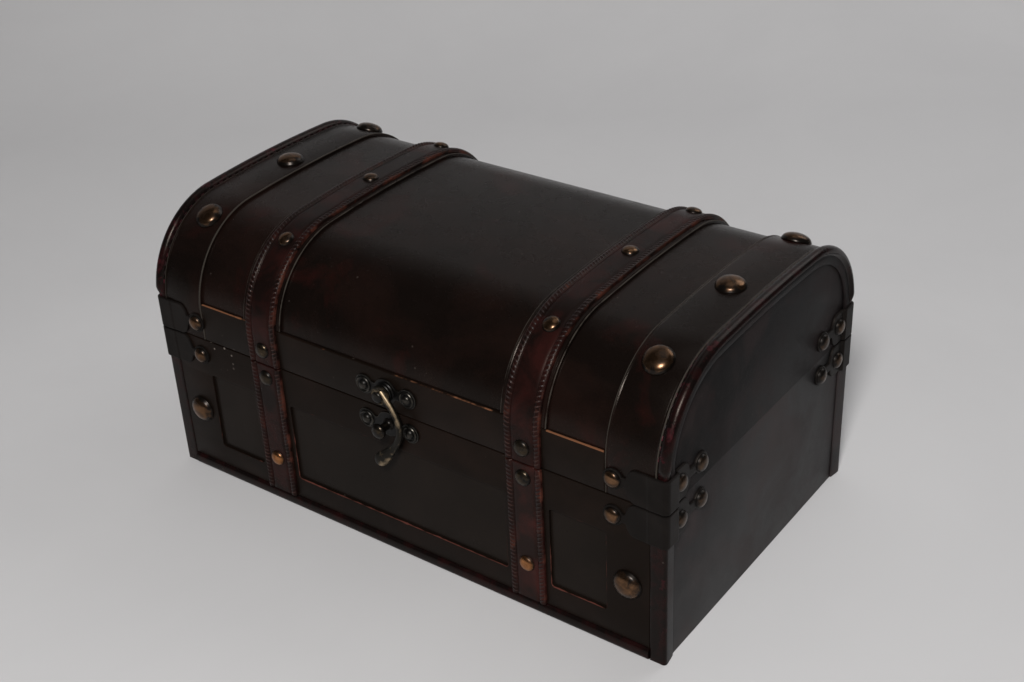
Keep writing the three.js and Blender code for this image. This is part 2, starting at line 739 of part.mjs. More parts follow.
// The places along the inner face of a corner patch round the front right corner, seen from above:
// along the overlay, up over the binding, round the corner and down onto the end board. Each has
// its way out and its distance from the corner, and says whether it lies on the front.
function patchPlaces(cornerX, cornerY) {
  const flatY = overlayFace + GLUE;
  const flatX = halfBox + GLUE;
  const radius = BINDING_RADIUS + GLUE;
  const path = new THREE.Path();
  path.moveTo(cornerX - PATCH_FRONT_NAIL - PATCH_TIP_RADIUS, -flatY);
  path.lineTo(bindingEdge - PATCH_RAMP - GLUE, -flatY);
  path.lineTo(bindingEdge - GLUE, -cornerY);
  path.lineTo(cornerX - radius, -cornerY);
  path.absarc(cornerX - radius, radius - cornerY, radius, -Math.PI / 2, 0, false);
  path.lineTo(cornerX, BINDING_REACH + GLUE - cornerY);
  path.lineTo(flatX, BINDING_REACH + GLUE + PATCH_RAMP - cornerY);
  path.lineTo(flatX, PATCH_END_NAIL + PATCH_TIP_RADIUS - cornerY);
  const points = [];
  for (const curve of path.curves) {
    const straight = Math.ceil(curve.getLength() / PATCH_STEP);
    for (const point of curve.getPoints(curve.isLineCurve ? straight : CORNER_STEPS)) {
      if (!points.length || point.distanceTo(points.at(-1)) > GLUE) points.push(point);
    }
  }
  return points.map((point, i) => {
    const before = points[Math.max(0, i - 1)];
    const after = points[Math.min(points.length - 1, i + 1)];
    const along = after.clone().sub(before).normalize();
    const out = new THREE.Vector2(along.y, -along.x);
    const onFront = cornerX - point.x > cornerY + point.y;
    return { point, out, onFront, distance: Math.max(cornerX - point.x, cornerY + point.y) };
  });
}

// The lowest and highest reach of a patch above its edge, at a distance from the corner: a wide
// lobe round the corner, a neck, and a round tip under the nail at the given distance
function patchSpan(distance, nailDistance) {
  const lobeStart = PATCH_LOBE - PATCH_LOBE_ROUND;
  const into = Math.max(0, distance - lobeStart) / PATCH_LOBE_ROUND;
  const lobe = into < 1 ? (PATCH_HEIGHT / 2) * Math.sqrt(1 - into * into) : 0;
  const fromNail = Math.min(Math.abs(distance - nailDistance), PATCH_TIP_RADIUS);
  const round = Math.sqrt(PATCH_TIP_RADIUS ** 2 - fromNail ** 2);
  const neck = distance < nailDistance ? PATCH_NECK : PATCH_NECK / 3;
  const tip = Math.max(round, neck);
  const lobeMiddle = PATCH_EDGE_GAP + PATCH_HEIGHT / 2;
  return [
    Math.min(PATCH_NAIL_LIFT - tip, lobeMiddle - lobe),
    Math.max(PATCH_NAIL_LIFT + tip, lobeMiddle + lobe),
  ];
}

// One corner patch with its three nails, for the front right corner of the lid
function patchGeometry() {
  const cornerX = LENGTH / 2 + GLUE;
  const cornerY = halfDepth + BINDING + 2 * GLUE;
  const rings = patchPlaces(cornerX, cornerY).map(({ point, out, onFront, distance }) => {
    const span = patchSpan(distance, onFront ? PATCH_FRONT_NAIL : PATCH_END_NAIL);
    const [low, high] = span.map((lift) => seamTop + lift);
    const outer = point.clone().addScaledVector(out, PATCH);
    return [
      new THREE.Vector3(point.x, point.y, low),
      new THREE.Vector3(point.x, point.y, high),
      new THREE.Vector3(outer.x, outer.y, high),
      new THREE.Vector3(outer.x, outer.y, low),
    ];
  });
  const outline = [[0, 0], [0, 1], [1, 1], [1, 0]].map(([x, y]) => new THREE.Vector2(x, y));
  const z = seamTop + PATCH_NAIL_LIFT;
  const head = () => nailHead(SMALL_NAIL_RADIUS, SMALL_NAIL_RISE, SMALL_NAIL_SIDES, NAIL_SINK);
  const frontNail = head().rotateX(Math.PI);
  frontNail.translate(cornerX - PATCH_FRONT_NAIL, -(overlayFace + GLUE + PATCH), z);
  const besideBinding = BINDING_REACH + 2 * GLUE + SMALL_NAIL_RADIUS;
  const endNails = [besideBinding, PATCH_END_NAIL].map((distance) =>
    head()
      .rotateZ(-Math.PI / 2)
      .translate(halfBox + GLUE + PATCH, distance - cornerY, z),
  );
  return join(loft(rings, outline), frontNail, ...endNails);
}

// The eight corner patches, above and below the seam
function addCornerPatches() {
  const geometry = patchGeometry();
  for (const [faceWord, face] of Object.entries(faces)) {
    for (const [sideWord, side] of Object.entries(sides)) {
      const ends = `${faceWord}_${sideWord}`;
      add(lid, `lid_patch_${ends}`, geometry, blackLeather).scale.set(side, -face, 1);
      const lower = add(base, `base_patch_${ends}`, geometry, blackLeather);
      lower.scale.set(side, -face, -1);
      lower.position.z = BASE_HEIGHT + seamTop;
    }
  }
}

// A latch plate: two lobes under the nails, a round middle and a bar across, with its nails
function latchPlate(nailZ, middleZ) {
  const back = -(overlayFace + GLUE);
  const half = LATCH_NAIL_SPACING / 2;
  const lobe = LATCH_NAIL_RADIUS + LATCH_LOBE_MARGIN;
  const disc = (x, z, radius) => bar("y", radius, latchFace, back, EYE_SIDES).translate(x, 0, z);
  const nails = [-half, half].map((x) =>
    nailHead(LATCH_NAIL_RADIUS, LATCH_NAIL_RISE, SMALL_NAIL_SIDES, NAIL_SINK)
      .rotateX(Math.PI)
      .translate(x, latchFace, nailZ),
  );
  return join(
    block([-half, latchFace, nailZ - LATCH_NECK], [half, back, nailZ + LATCH_NECK]),
    disc(-half, nailZ, lobe),
    disc(half, nailZ, lobe),
    disc(0, middleZ, LATCH_MIDDLE_RADIUS),
    ...nails,
  );
}

// The hole for the rivet on which the hook swings
function rivetHole() {
  const radius = holeRadius(PIVOT_RADIUS, PIVOT_PLAY, EYE_SIDES);
  return bar("y", radius, -LENGTH, 0, EYE_SIDES).translate(0, 0, pivotZ);
}

// The fixed parts of the latch: a plate with a boss and a rivet on the lid, and a plate with a
// knobbed stud on the base
function addLatchFittings() {
  const boss = bar("y", HOOK_EYE_RADIUS, hookBack + HOOK_GAP, latchFace + NAIL_SINK, EYE_SIDES);
  const plate = latchPlate(seamTop + LATCH_NAIL_LIFT, pivotZ);
  const topPlate = cut(join(plate, boss.translate(0, 0, pivotZ)), rivetHole());
  add(lid, "latch_top_plate", topPlate, antiqueBrass);

  const headBack = hookFront - HOOK_GAP;
  const head = nailHead(RIVET_HEAD_RADIUS, RIVET_HEAD_RISE, EYE_SIDES, 0).rotateX(Math.PI);
  const shankEnd = -(overlayFace + 2 * GLUE);
  const shank = bar("y", PIVOT_RADIUS, headBack - RIVET_HEAD_RISE / 3, shankEnd, EYE_SIDES);
  const rivet = join(shank, head.translate(0, headBack, 0));
  add(lid, "latch_pivot_rivet", rivet.translate(0, 0, pivotZ), antiqueBrass);

  const keeper = latchPlate(BASE_HEIGHT - KEEPER_NAIL_DROP, studZ);
  add(base, "latch_keeper_plate", keeper, antiqueBrass);

  const studFoot = latchFace - GLUE;
  const studLength = studFoot - headBack;
  const profile = [
    [0, 0],
    [STUD_RADIUS + STUD_FOOT, 0],
    [STUD_RADIUS, STUD_FOOT],
    [STUD_RADIUS, studLength],
    [KNOB_RADIUS * 0.83, studLength + KNOB_HEIGHT * 0.05],
    [KNOB_RADIUS, studLength + KNOB_HEIGHT * 0.35],
    [KNOB_RADIUS * 0.85, studLength + KNOB_HEIGHT * 0.7],
    [KNOB_RADIUS * 0.5, studLength + KNOB_HEIGHT * 0.95],
    [0, studLength + KNOB_HEIGHT],
  ].map(([radius, height]) => new THREE.Vector2(radius, height));
  const stud = new THREE.LatheGeometry(profile, EYE_SIDES).rotateX(Math.PI);
  add(base, "latch_keeper_stud", stud.translate(0, studFoot, studZ), antiqueBrass);
}

// The horn hook: an eye on the rivet, and an oval section that bows round the stud. It swells towards
// its round tip, all of it outwards, as its back is flat.
function addHook() {
  const line = new THREE.CubicBezierCurve(...HOOK_LINE.map((point) => new THREE.Vector2(...point)));
  const around = Array.from(
    { length: HOOK_SECTION_POINTS },
    (_, k) => (2 * Math.PI * k) / HOOK_SECTION_POINTS,
  );
  const rings = [];
  for (let i = 0; i <= HOOK_STEPS; i++) {
    const share = 1 - (1 - i / HOOK_STEPS) ** HOOK_CROWDING;
    const middle = line.getPointAt(share);
    const along = line.getTangentAt(share);
    const swell = THREE.MathUtils.smoothstep(share, ...HOOK_SWELL);
    const intoTip = Math.max(0, (share - 1 + HOOK_TIP) / HOOK_TIP);
    const rounding = Math.sqrt(Math.max(0.06, 1 - intoTip * intoTip));
    const half = THREE.MathUtils.lerp(HOOK_WAIST, HOOK_BULB, swell) * rounding;
    const halfThick = THREE.MathUtils.lerp(HOOK_THICK / 2, HOOK_BULB_DEPTH, swell);
    const deep = halfThick * Math.max(0.45, rounding);
    rings.push(
      around.map((angle) => {
        const across = half * Math.cos(angle);
        const x = middle.x - along.y * across;
        const z = pivotZ + middle.y + along.x * across;
        return new THREE.Vector3(x, hookBack - halfThick + deep * Math.sin(angle), z);
      }),
    );
  }
  const oval = around.map((angle) => new THREE.Vector2(Math.cos(angle), Math.sin(angle)));
  const eye = bar("y", HOOK_EYE_RADIUS, hookFront, hookBack, EYE_SIDES).translate(0, 0, pivotZ);
  const horn = cut(join(loft(rings, oval), eye), rivetHole());
  add(hook, "latch_hook", horn, antiqueBrass);
}

// One leaf of a butt hinge about a pin along X through the origin: a plate that stands up from the
// pin, rolled into the knuckles whose numbers are given. The other knuckles are cut clear.
function hingeLeaf(own) {
  const pitch = HINGE_WIDTH / KNUCKLES;
  const plateBack = -(HINGE_SET_BACK - GLUE);
  const plateFront = plateBack + HINGE_LEAF;
  const plate = block(
    [-HINGE_WIDTH / 2, plateBack, 0],
    [HINGE_WIDTH / 2, plateFront, HINGE_LEAF_HEIGHT],
  );
  const rolled = [];
  const cleared = [];
  for (let k = 0; k < KNUCKLES; k++) {
    const mine = own.includes(k);
    const radius = mine ? KNUCKLE_RADIUS : KNUCKLE_RADIUS + KNUCKLE_GAP;
    const spare = mine ? KNUCKLE_GAP / 2 : -KNUCKLE_GAP / 2;
    const from = k * pitch - HINGE_WIDTH / 2;
    const knuckle = bar("x", radius, from + spare, from + pitch - spare, KNUCKLE_SIDES);
    (mine ? rolled : cleared).push(knuckle);
  }
  const boreRadius = holeRadius(HINGE_PIN_RADIUS, HINGE_PIN_PLAY, KNUCKLE_SIDES);
  const bore = bar("x", boreRadius, -HINGE_WIDTH, HINGE_WIDTH, KNUCKLE_SIDES);
  return cut(join(cut(plate, ...cleared), ...rolled), bore);
}

// The two butt hinges on the back: a leaf on the base, a leaf on the lid and a pin in each
function addHinges() {
  const baseKnuckles = [0, 2, 4];
  const lidKnuckles = [1, 3];
  const baseLeaf = hingeLeaf(baseKnuckles);
  const lidLeaf = hingeLeaf(lidKnuckles);
  const reach = HINGE_WIDTH / 2 + GLUE;
  const end = reach + PIN_HEAD;
  const pin = join(
    bar("x", HINGE_PIN_RADIUS, -reach - PIN_HEAD / 2, reach + PIN_HEAD / 2, KNUCKLE_SIDES),
    bar("x", PIN_HEAD_RADIUS, reach, end, KNUCKLE_SIDES),
    bar("x", PIN_HEAD_RADIUS, -end, -reach, KNUCKLE_SIDES),
  );
  for (const [word, side] of Object.entries(sides)) {
    const lower = add(base, `hinge_base_leaf_${word}`, baseLeaf, antiqueBrass);
    lower.scale.z = -1;
    lower.position.set(side * hingeX, hingeY, hingeZ);
    const upper = add(lid, `hinge_lid_leaf_${word}`, lidLeaf, antiqueBrass);
    upper.position.set(side * hingeX, hingeY, hingeZ);
    const axle = add(base, `hinge_pin_${word}`, pin, antiqueBrass);
    axle.position.set(side * hingeX, hingeY, hingeZ);
  }
}

addBaseBoards();
addBaseFrames();
addFootBeads();
addCornerBindings();
addDome();
addLidOverlay();
addPiping();
addStraps();
addBigNails();
addCornerPatches();
addLatchFittings();
addHook();
addHinges();

export default chest;
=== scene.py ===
# %% [markdown]
# # A small domed storage chest
#
# The chest is a box of thin boards under dark leatherette, with an arched lid, two nailed straps,
# black corner patches, a horn-shaped hook and two hinges behind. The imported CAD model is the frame:
# it holds every size and every joint. Blender adds what a camera sees on top of it, such as rounded
# leather edges, stitching, domed nails and worn finishes.

import math

import bmesh
import bpy
from mathutils import Matrix, Vector, geometry, noise


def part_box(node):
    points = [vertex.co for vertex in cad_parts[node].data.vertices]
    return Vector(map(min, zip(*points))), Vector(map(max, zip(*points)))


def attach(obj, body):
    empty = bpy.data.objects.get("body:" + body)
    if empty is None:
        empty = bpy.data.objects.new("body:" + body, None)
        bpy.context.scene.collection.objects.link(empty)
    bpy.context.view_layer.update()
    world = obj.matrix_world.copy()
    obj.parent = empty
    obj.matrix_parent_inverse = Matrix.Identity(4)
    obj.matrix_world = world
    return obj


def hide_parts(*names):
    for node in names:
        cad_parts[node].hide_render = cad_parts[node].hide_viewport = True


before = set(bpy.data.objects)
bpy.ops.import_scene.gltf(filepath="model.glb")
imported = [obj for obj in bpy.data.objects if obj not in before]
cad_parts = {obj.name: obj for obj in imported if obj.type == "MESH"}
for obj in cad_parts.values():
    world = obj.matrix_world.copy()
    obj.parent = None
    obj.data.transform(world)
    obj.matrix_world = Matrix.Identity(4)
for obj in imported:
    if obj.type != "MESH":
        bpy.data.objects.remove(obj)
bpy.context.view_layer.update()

# %% [markdown]
# ## Sizes
#
# Blender counts in metres, and leatherwork is easier to think about in millimetres, so each size
# below is written in millimetres and multiplied by MM. The outer sizes are read from the frame, so
# the leather always meets the boards.

# %% Sizes
MM = 0.001
HALF_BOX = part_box("base_front_board")[1].x
WALL_FACE = -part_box("base_front_board")[0].y
BASE_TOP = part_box("base_front_board")[1].z
SEAM_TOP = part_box("lid_left_end_board")[0].z
OUT_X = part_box("base_binding_front_right")[1].x
GLUE = 0.1 * MM
GAP = 0.2 * MM
SHEET = (GLUE, 1.6 * MM)
BINDING_REACH = 9.5 * MM
BINDING_EDGE = OUT_X - BINDING_REACH
BAND_EDGE = BINDING_EDGE - 26 * MM
PIPING_EDGE = OUT_X - 5.6 * MM
STRAP_X = 90.5 * MM
BACKING = 28.5 * MM
BEAD_TOP = 7.6 * MM
SIDES = {"left": -1, "right": 1}
FACES = {"front": -1, "back": 1}
CORNERS = {f"{face}_{side}": (SIDES[side], FACES[face]) for face in FACES for side in SIDES}
print("box half length", HALF_BOX, "wall face", WALL_FACE, "seam", BASE_TOP, SEAM_TOP)

# %% [markdown]
# ## The path over the chest
#
# Leather is cut flat and then bent over the dome, and this model is made in the same way. Every
# leather piece is first drawn flat, with X along the chest, Y as the distance along the surface from
# the front seam, and Z as the height above the surface. `path` turns that distance into a place on
# the chest: straight up the wall, round the front shoulder, over the nearly flat crown and down the
# back. Distances below zero run down the front of the base. `lay` bends a whole mesh along it.

# %% The path over the chest
SHOULDER = 52 * MM
CROWN = 900 * MM
LID_HEIGHT = 71.5 * MM
shoulder_y = WALL_FACE - SHOULDER
crown_drop = math.sqrt((CROWN - SHOULDER) ** 2 - shoulder_y**2)
spring_z = SEAM_TOP + LID_HEIGHT - (CROWN - crown_drop)
crown_angle = math.atan2(shoulder_y, crown_drop)
STRAIGHT = spring_z - SEAM_TOP
ARC = SHOULDER * (math.pi / 2 - crown_angle)
HALF_WAY = STRAIGHT + ARC + CROWN * crown_angle
WHOLE_WAY = 2 * HALF_WAY


def path(along):
    """The place (y, z) and the way out (ny, nz) at a distance from the front seam."""
    side = -1 if along <= HALF_WAY else 1
    rest = along if side < 0 else WHOLE_WAY - along
    if rest <= STRAIGHT:
        return side * WALL_FACE, SEAM_TOP + rest, side, 0.0
    if rest <= STRAIGHT + ARC:
        turn = (rest - STRAIGHT) / SHOULDER
        ny, nz = math.cos(turn), math.sin(turn)
        return side * (shoulder_y + SHOULDER * ny), spring_z + SHOULDER * nz, side * ny, nz
    turn = (HALF_WAY - rest) / CROWN
    ny, nz = math.sin(turn), math.cos(turn)
    return side * CROWN * ny, spring_z - crown_drop + CROWN * nz, side * ny, nz


def lay(bm):
    """Bends a flat mesh over the chest."""
    for vert in bm.verts:
        y, z, ny, nz = path(vert.co.y)
        vert.co = (vert.co.x, y + ny * vert.co.z, z + nz * vert.co.z)
    return bm


def seat(x, along, rise):
    """The matrix that stands a stiff piece, made along Z, on the surface."""
    y, z, ny, nz = path(along)
    out, across = Vector((0, ny, nz)), Vector((1, 0, 0))
    turn = Matrix((across, out.cross(across), out)).transposed().to_4x4()
    return Matrix.Translation(Vector((x, y, z)) + out * rise) @ turn


def facing_front(x, out, z):
    """The matrix that points such a piece out of the front, its foot at a given depth."""
    return Matrix.Translation((x, -out, z)) @ Matrix.Rotation(math.pi / 2, 4, "X")


def along_at(y):
    """The distance along the path to a place on the dome, by its y."""
    if abs(y) > shoulder_y + SHOULDER * math.sin(crown_angle):
        rest = STRAIGHT + SHOULDER * math.acos((abs(y) - shoulder_y) / SHOULDER)
    else:
        rest = HALF_WAY - CROWN * math.asin(abs(y) / CROWN)
    return rest if y < 0 else WHOLE_WAY - rest


def clamp(value):
    return max(0.0, min(1.0, value))


def eased(value):
    """0 to 1 with a soft start and a soft end."""
    share = clamp(value)
    return share * share * (3 - 2 * share)


print("length over the dome", round(WHOLE_WAY / MM, 1), "mm; crown at", round(path(HALF_WAY)[1], 4))

# %% [markdown]
# ## Node helpers
#
# A material is a small program made of nodes. `Nodes` holds a node tree and adds to it: it makes a
# node, fills its sockets with values or links, and names the few sums that come up again and again.
# Effects that several materials share are node groups: one definition with named inputs and outputs,
# placed wherever it is needed with its own values. `Group` starts one of those.

# %% Node helpers
class Nodes:
    def __init__(self, tree):
        self.tree = tree

    def fill(self, made, values):
        """Gives the sockets of a node their values, or links them."""
        for key, value in values.items():
            if isinstance(value, bpy.types.NodeSocket):
                self.tree.links.new(value, made.inputs[key])
            else:
                made.inputs[key].default_value = value
        return made

    def add(self, kind, values, **settings):
        made = self.tree.nodes.new(kind)
        for key, value in settings.items():
            setattr(made, key, value)
        return self.fill(made, values)

    def calc(self, operation, a, b=0.0, c=0.0):
        return self.add("ShaderNodeMath", {0: a, 1: b, 2: c}, operation=operation).outputs[0]

    def times(self, a, b):
        return self.calc("MULTIPLY", a, b)

    def plus(self, a, b):
        return self.calc("ADD", a, b)

    def between(self, value, low, high, to_low=0.0, to_high=1.0):
        """Spreads the range low to high over the range to_low to to_high."""
        ends = {"From Min": low, "From Max": high, "To Min": to_low, "To Max": to_high}
        return self.add("ShaderNodeMapRange", {"Value": value, **ends}, clamp=True).outputs[0]

    def blend(self, factor, a, b):
        """Mixes two colours, each of them a socket or its red, green and blue."""
        a, b = (c if isinstance(c, bpy.types.NodeSocket) else (*c, 1.0) for c in (a, b))
        return self.add("ShaderNodeMix", {0: factor, 6: a, 7: b}, data_type="RGBA").outputs[2]

    def noise(self, where, scale, detail, roughness=0.5, distortion=0.0):
        values = {"Vector": where, "Scale": scale, "Detail": detail, "Roughness": roughness}
        return self.add("ShaderNodeTexNoise", {**values, "Distortion": distortion}).outputs[0]


class Group(Nodes):
    def __init__(self, name, inputs, outputs):
        super().__init__(bpy.data.node_groups.new(name, "ShaderNodeTree"))
        new_socket = self.tree.interface.new_socket
        new_socket(name="Vector", in_out="INPUT", socket_type="NodeSocketVector")
        for title, value in inputs.items():
            socket = new_socket(name=title, in_out="INPUT", socket_type="NodeSocketFloat")
            socket.default_value = value
        for title in outputs:
            new_socket(name=title, in_out="OUTPUT", socket_type="NodeSocketFloat")
        self.given = self.tree.nodes.new("NodeGroupInput").outputs
        self.result = self.tree.nodes.new("NodeGroupOutput")


print("helpers ready")

# %% [markdown]
# ## Leather grain
#
# Leatherette is pressed with a grain of small rounded cells divided by fine creases. A Voronoi
# texture gives the distance to the nearest crease. Bending its coordinates with a little noise stops
# the cells from looking like honeycomb, and a finer noise roughens the top of each cell. The group
# gives a height for a Bump node and a mask of the creases, where the leather gets a painted shade.

# %% Leather grain group
grain = Group("leather_grain", {"Scale": 900.0, "Crease": 0.12}, ["Height", "Creases"])
place = grain.given["Vector"]
bend = grain.add("ShaderNodeTexNoise", {"Vector": place, "Scale": 260.0, "Detail": 2.0})
bent = {0: bend.outputs["Color"], 1: (0.0035, 0.0035, 0.0035), 2: place}
bent = grain.add("ShaderNodeVectorMath", bent, operation="MULTIPLY_ADD").outputs[0]
cells = {"Vector": bent, "Scale": grain.given["Scale"]}
cells = grain.add("ShaderNodeTexVoronoi", cells, feature="DISTANCE_TO_EDGE").outputs["Distance"]
rounded = {"Value": cells, "From Min": 0.0, "From Max": grain.given["Crease"]}
rounded = grain.add("ShaderNodeMapRange", rounded, interpolation_type="SMOOTHSTEP").outputs[0]
pores = grain.times(grain.noise(place, 2600.0, 2.0), 0.35)
heights = {"Height": grain.plus(rounded, pores), "Creases": grain.calc("SUBTRACT", 1.0, rounded)}
grain.fill(grain.result, heights)
print("group", grain.tree.name, len(grain.tree.nodes), "nodes")

# %% [markdown]
# ## Edge wear
#
# Rubbed edges lose their dye first. Each mesh carries a number called wear on its points, 1 on the
# edges that hands and tables touch. The group breaks that band up with noise, so that the wear comes
# in patches and not as an even line.

# %% Edge wear group
wearing = Group("edge_wear", {"Wear": 0.0, "Amount": 0.5, "Scale": 90.0}, ["Mask"])
patches = wearing.noise(wearing.given["Vector"], wearing.given["Scale"], 6.0, 0.65)
reach = wearing.times(wearing.given["Wear"], wearing.given["Amount"])
worn = wearing.calc("SUBTRACT", wearing.plus(patches, reach), 0.78)
touched = wearing.between(wearing.given["Wear"], 0.02, 0.12)
wearing.fill(wearing.result, {"Mask": wearing.times(touched, wearing.between(worn, 0.0, 0.16))})
print("group", wearing.tree.name)

# %% [markdown]
# ## Mottling and specks
#
# Two more groups serve every finish. `mottle` gives broad cloudy patches, as where dye took
# unevenly. `specks` gives small scattered dots, as of dust and flaked colour: it keeps only the
# middle of a few random Voronoi cells.

# %% Mottle and speck groups
mottling = Group("mottle", {"Scale": 25.0, "Low": 0.45, "High": 0.65}, ["Mask"])
clouds = mottling.noise(mottling.given["Vector"], mottling.given["Scale"], 5.0, 0.6, 0.4)
clouds = mottling.between(clouds, mottling.given["Low"], mottling.given["High"])
mottling.fill(mottling.result, {"Mask": clouds})

speckling = Group("specks", {"Scale": 300.0, "Share": 0.1, "Size": 0.2}, ["Mask"])
dots = {"Vector": speckling.given["Vector"], "Scale": speckling.given["Scale"]}
dots = speckling.add("ShaderNodeTexVoronoi", dots).outputs
chance = speckling.add("ShaderNodeSeparateColor", {"Color": dots["Color"]}).outputs[0]
few = speckling.calc("LESS_THAN", chance, speckling.given["Share"])
small = speckling.calc("LESS_THAN", dots["Distance"], speckling.given["Size"])
speckling.fill(speckling.result, {"Mask": speckling.times(few, small)})
print("groups", mottling.tree.name, speckling.tree.name)

# %% [markdown]
# ## Starting a material
#
# Every finish on the chest starts alike: a Principled shader, the object's own coordinates and the
# wear number of the mesh. `Finish` makes these. Its colour is built in layers, like a real one: a
# dark and a light tone first, and then each `paint` laid over them where a mask lets it through.

# %% Starting a material
class Finish(Nodes):
    def __init__(self, name):
        self.material = bpy.data.materials.new(name)
        self.material.use_nodes = True
        super().__init__(self.material.node_tree)
        self.shader = self.tree.nodes["Principled BSDF"]
        self.where = self.tree.nodes.new("ShaderNodeTexCoord").outputs["Object"]

    def wear(self):
        return self.add("ShaderNodeAttribute", {}, attribute_name="wear").outputs["Fac"]

    def use(self, group, where=None, **values):
        """Places one of the groups above, and returns its outputs."""
        values["Vector"] = self.where if where is None else where
        made = self.add("ShaderNodeGroup", {}, node_tree=group.tree)
        return self.fill(made, values).outputs

    def mottle(self, scale, low=0.45, high=0.65, where=None):
        return self.use(mottling, where, Scale=scale, Low=low, High=high)["Mask"]

    def specks(self, scale, share, size):
        return self.use(speckling, Scale=scale, Share=share, Size=size)["Mask"]

    def tones(self, mask, dark, light):
        self.colour = self.blend(mask, dark, light)

    def paint(self, mask, colour, share=1.0):
        mask = mask if share == 1.0 else self.times(mask, share)
        self.colour = self.blend(mask, self.colour, colour)

    def done(self, roughness, height, strength, depth, shine=0.5, **others):
        """Gives the shader its colour, gloss and bump. Returns the finished material."""
        bump = self.add("ShaderNodeBump", {"Strength": strength, "Distance": depth, "Height": height})
        values = {"Base Color": self.colour, "Roughness": roughness, "Normal": bump.outputs[0]}
        self.fill(self.shader, {**values, "Specular IOR Level": shine, **others})
        return self.material


print("ready to make finishes")

# %% [markdown]
# ## Leather finishes
#
# The dome is chocolate-black leatherette with clouds of oxblood showing through. The frame, the
# straps, the piping and the patches are made by the same recipe with other colours: a dark and a
# light tone mixed by the mottle, an edge colour where the wear mask is, and a waxy gloss that drops
# where the edge is rubbed. One function holds the recipe, so the finishes stay related, as they are
# on the real chest. A few chips of colour are lost at one place on the front.

# %% Leather finishes
OXBLOOD = (0.018, 0.0045, 0.0036)
DUST = (0.16, 0.13, 0.11)
BARE = (0.13, 0.11, 0.095)
WARM_SHINE = (1.0, 0.86, 0.76, 1.0)
CHIPPED = (-128 * MM, -101 * MM, 92 * MM)


def leather(name, dark, light, edge, tone_scale, rough, wear, shine, red=0.0):
    skin = Finish(name)
    creased = skin.use(grain, Scale=1000.0)
    worn = skin.use(wearing, Wear=skin.wear(), Amount=wear)["Mask"]
    skin.tones(skin.mottle(tone_scale), dark, light)
    skin.paint(skin.mottle(24.0, 0.56, 0.7), OXBLOOD, red)
    # Painted shade: the leather is painted darker in the creases of the grain.
    skin.paint(creased["Creases"], [0.3 * c for c in dark], 0.25)
    skin.paint(worn, edge)
    skin.paint(skin.specks(260.0, 0.016, 0.15), DUST, 0.15)
    gap = {0: skin.where, 1: CHIPPED}
    gap = skin.add("ShaderNodeVectorMath", gap, operation="DISTANCE").outputs["Value"]
    near = skin.between(gap, 7 * MM, 15 * MM, 1.0, 0.0)
    skin.paint(skin.specks(360.0, 0.2, 0.27), BARE, near)
    gloss = skin.calc("MULTIPLY_ADD", skin.mottle(60.0, 0.3, 0.75), 0.12, rough - 0.06)
    gloss = skin.plus(gloss, skin.times(worn, 0.3))
    waves = skin.times(skin.noise(skin.where, 38.0, 3.0), 5.0)
    relief = skin.plus(creased["Height"], waves)
    return skin.done(gloss, relief, 0.24, 0.04 * MM, shine, **{"Specular Tint": WARM_SHINE})


dome_leather = leather(
    "dome_leatherette", (0.0048, 0.003, 0.0024), (0.0095, 0.0047, 0.0036), (0.034, 0.029, 0.024),
    tone_scale=15.0, rough=0.27, wear=0.7, shine=0.125, red=0.7,
)
frame_leather = leather(
    "frame_leatherette", (0.0068, 0.0043, 0.0031), (0.011, 0.0064, 0.0047), (0.11, 0.036, 0.027),
    tone_scale=22.0, rough=0.34, wear=0.45, shine=0.07,
)
rail_leather = leather(
    "rail_leatherette", (0.0068, 0.0043, 0.0031), (0.011, 0.0064, 0.0047), (0.16, 0.068, 0.034),
    tone_scale=22.0, rough=0.34, wear=0.6, shine=0.07,
)
panel_leather = leather(
    "panel_leatherette", (0.0082, 0.006, 0.0047), (0.0112, 0.008, 0.0063), (0.1, 0.07, 0.06),
    tone_scale=14.0, rough=0.32, wear=0.4, shine=0.08,
)
rubbed_strap = leather(
    "rubbed_strap_leather", (0.0105, 0.0046, 0.0038), (0.036, 0.0088, 0.0072), (0.08, 0.026, 0.017),
    tone_scale=44.0, rough=0.32, wear=0.3, shine=0.12,
)
strap_leather = leather(
    "strap_leather", (0.0065, 0.0034, 0.0029), (0.022, 0.0059, 0.005), (0.065, 0.02, 0.013),
    tone_scale=44.0, rough=0.3, wear=0.3, shine=0.1,
)
piping_leather = leather(
    "piping_leather", (0.0046, 0.0029, 0.0027), (0.0125, 0.0034, 0.0034), (0.05, 0.006, 0.01),
    tone_scale=120.0, rough=0.25, wear=0.24, shine=0.13,
)
patch_leather = leather(
    "patch_leather", (0.0056, 0.0047, 0.0043), (0.0096, 0.0078, 0.0072), (0.02, 0.0165, 0.0148),
    tone_scale=40.0, rough=0.46, wear=0.2, shine=0.085,
)
print("leather finishes", len([m for m in bpy.data.materials if "leather" in m.name]))

# %% [markdown]
# ## Thread, lining and brass
#
# Thread is twisted, so its bump is a fine slanting wave, and towards the top of the dome it is painted
# darker, a painted shade. The inside is lined with plain dark paper. Antique brass is bright only where
# it is rubbed: the wear number is 1 on the crown of each nail and falls towards the rim, and the mask
# mixes clean brass over a brown-black patina.

# %% Thread, lining and brass
PAPER = [(0.012, 0.0105, 0.0095), (0.021, 0.0175, 0.0155)]


def sewing(name, dark, light):
    twine = Finish(name)
    twine.tones(twine.mottle(140.0, 0.42, 0.6), dark, light)
    height = twine.add("ShaderNodeSeparateXYZ", {"Vector": twine.where}).outputs[2]
    # Painted shade: the thread darkens with height towards the top of the dome.
    twine.paint(twine.between(height, 135 * MM, 162 * MM, 0.0, 0.75), dark)
    twist = {"Vector": twine.where, "Scale": 900.0, "Distortion": 1.5}
    twist = twine.add("ShaderNodeTexWave", twist, bands_direction="DIAGONAL").outputs[0]
    return twine.done(0.38, twist, 0.5, 0.1 * MM, 0.3)


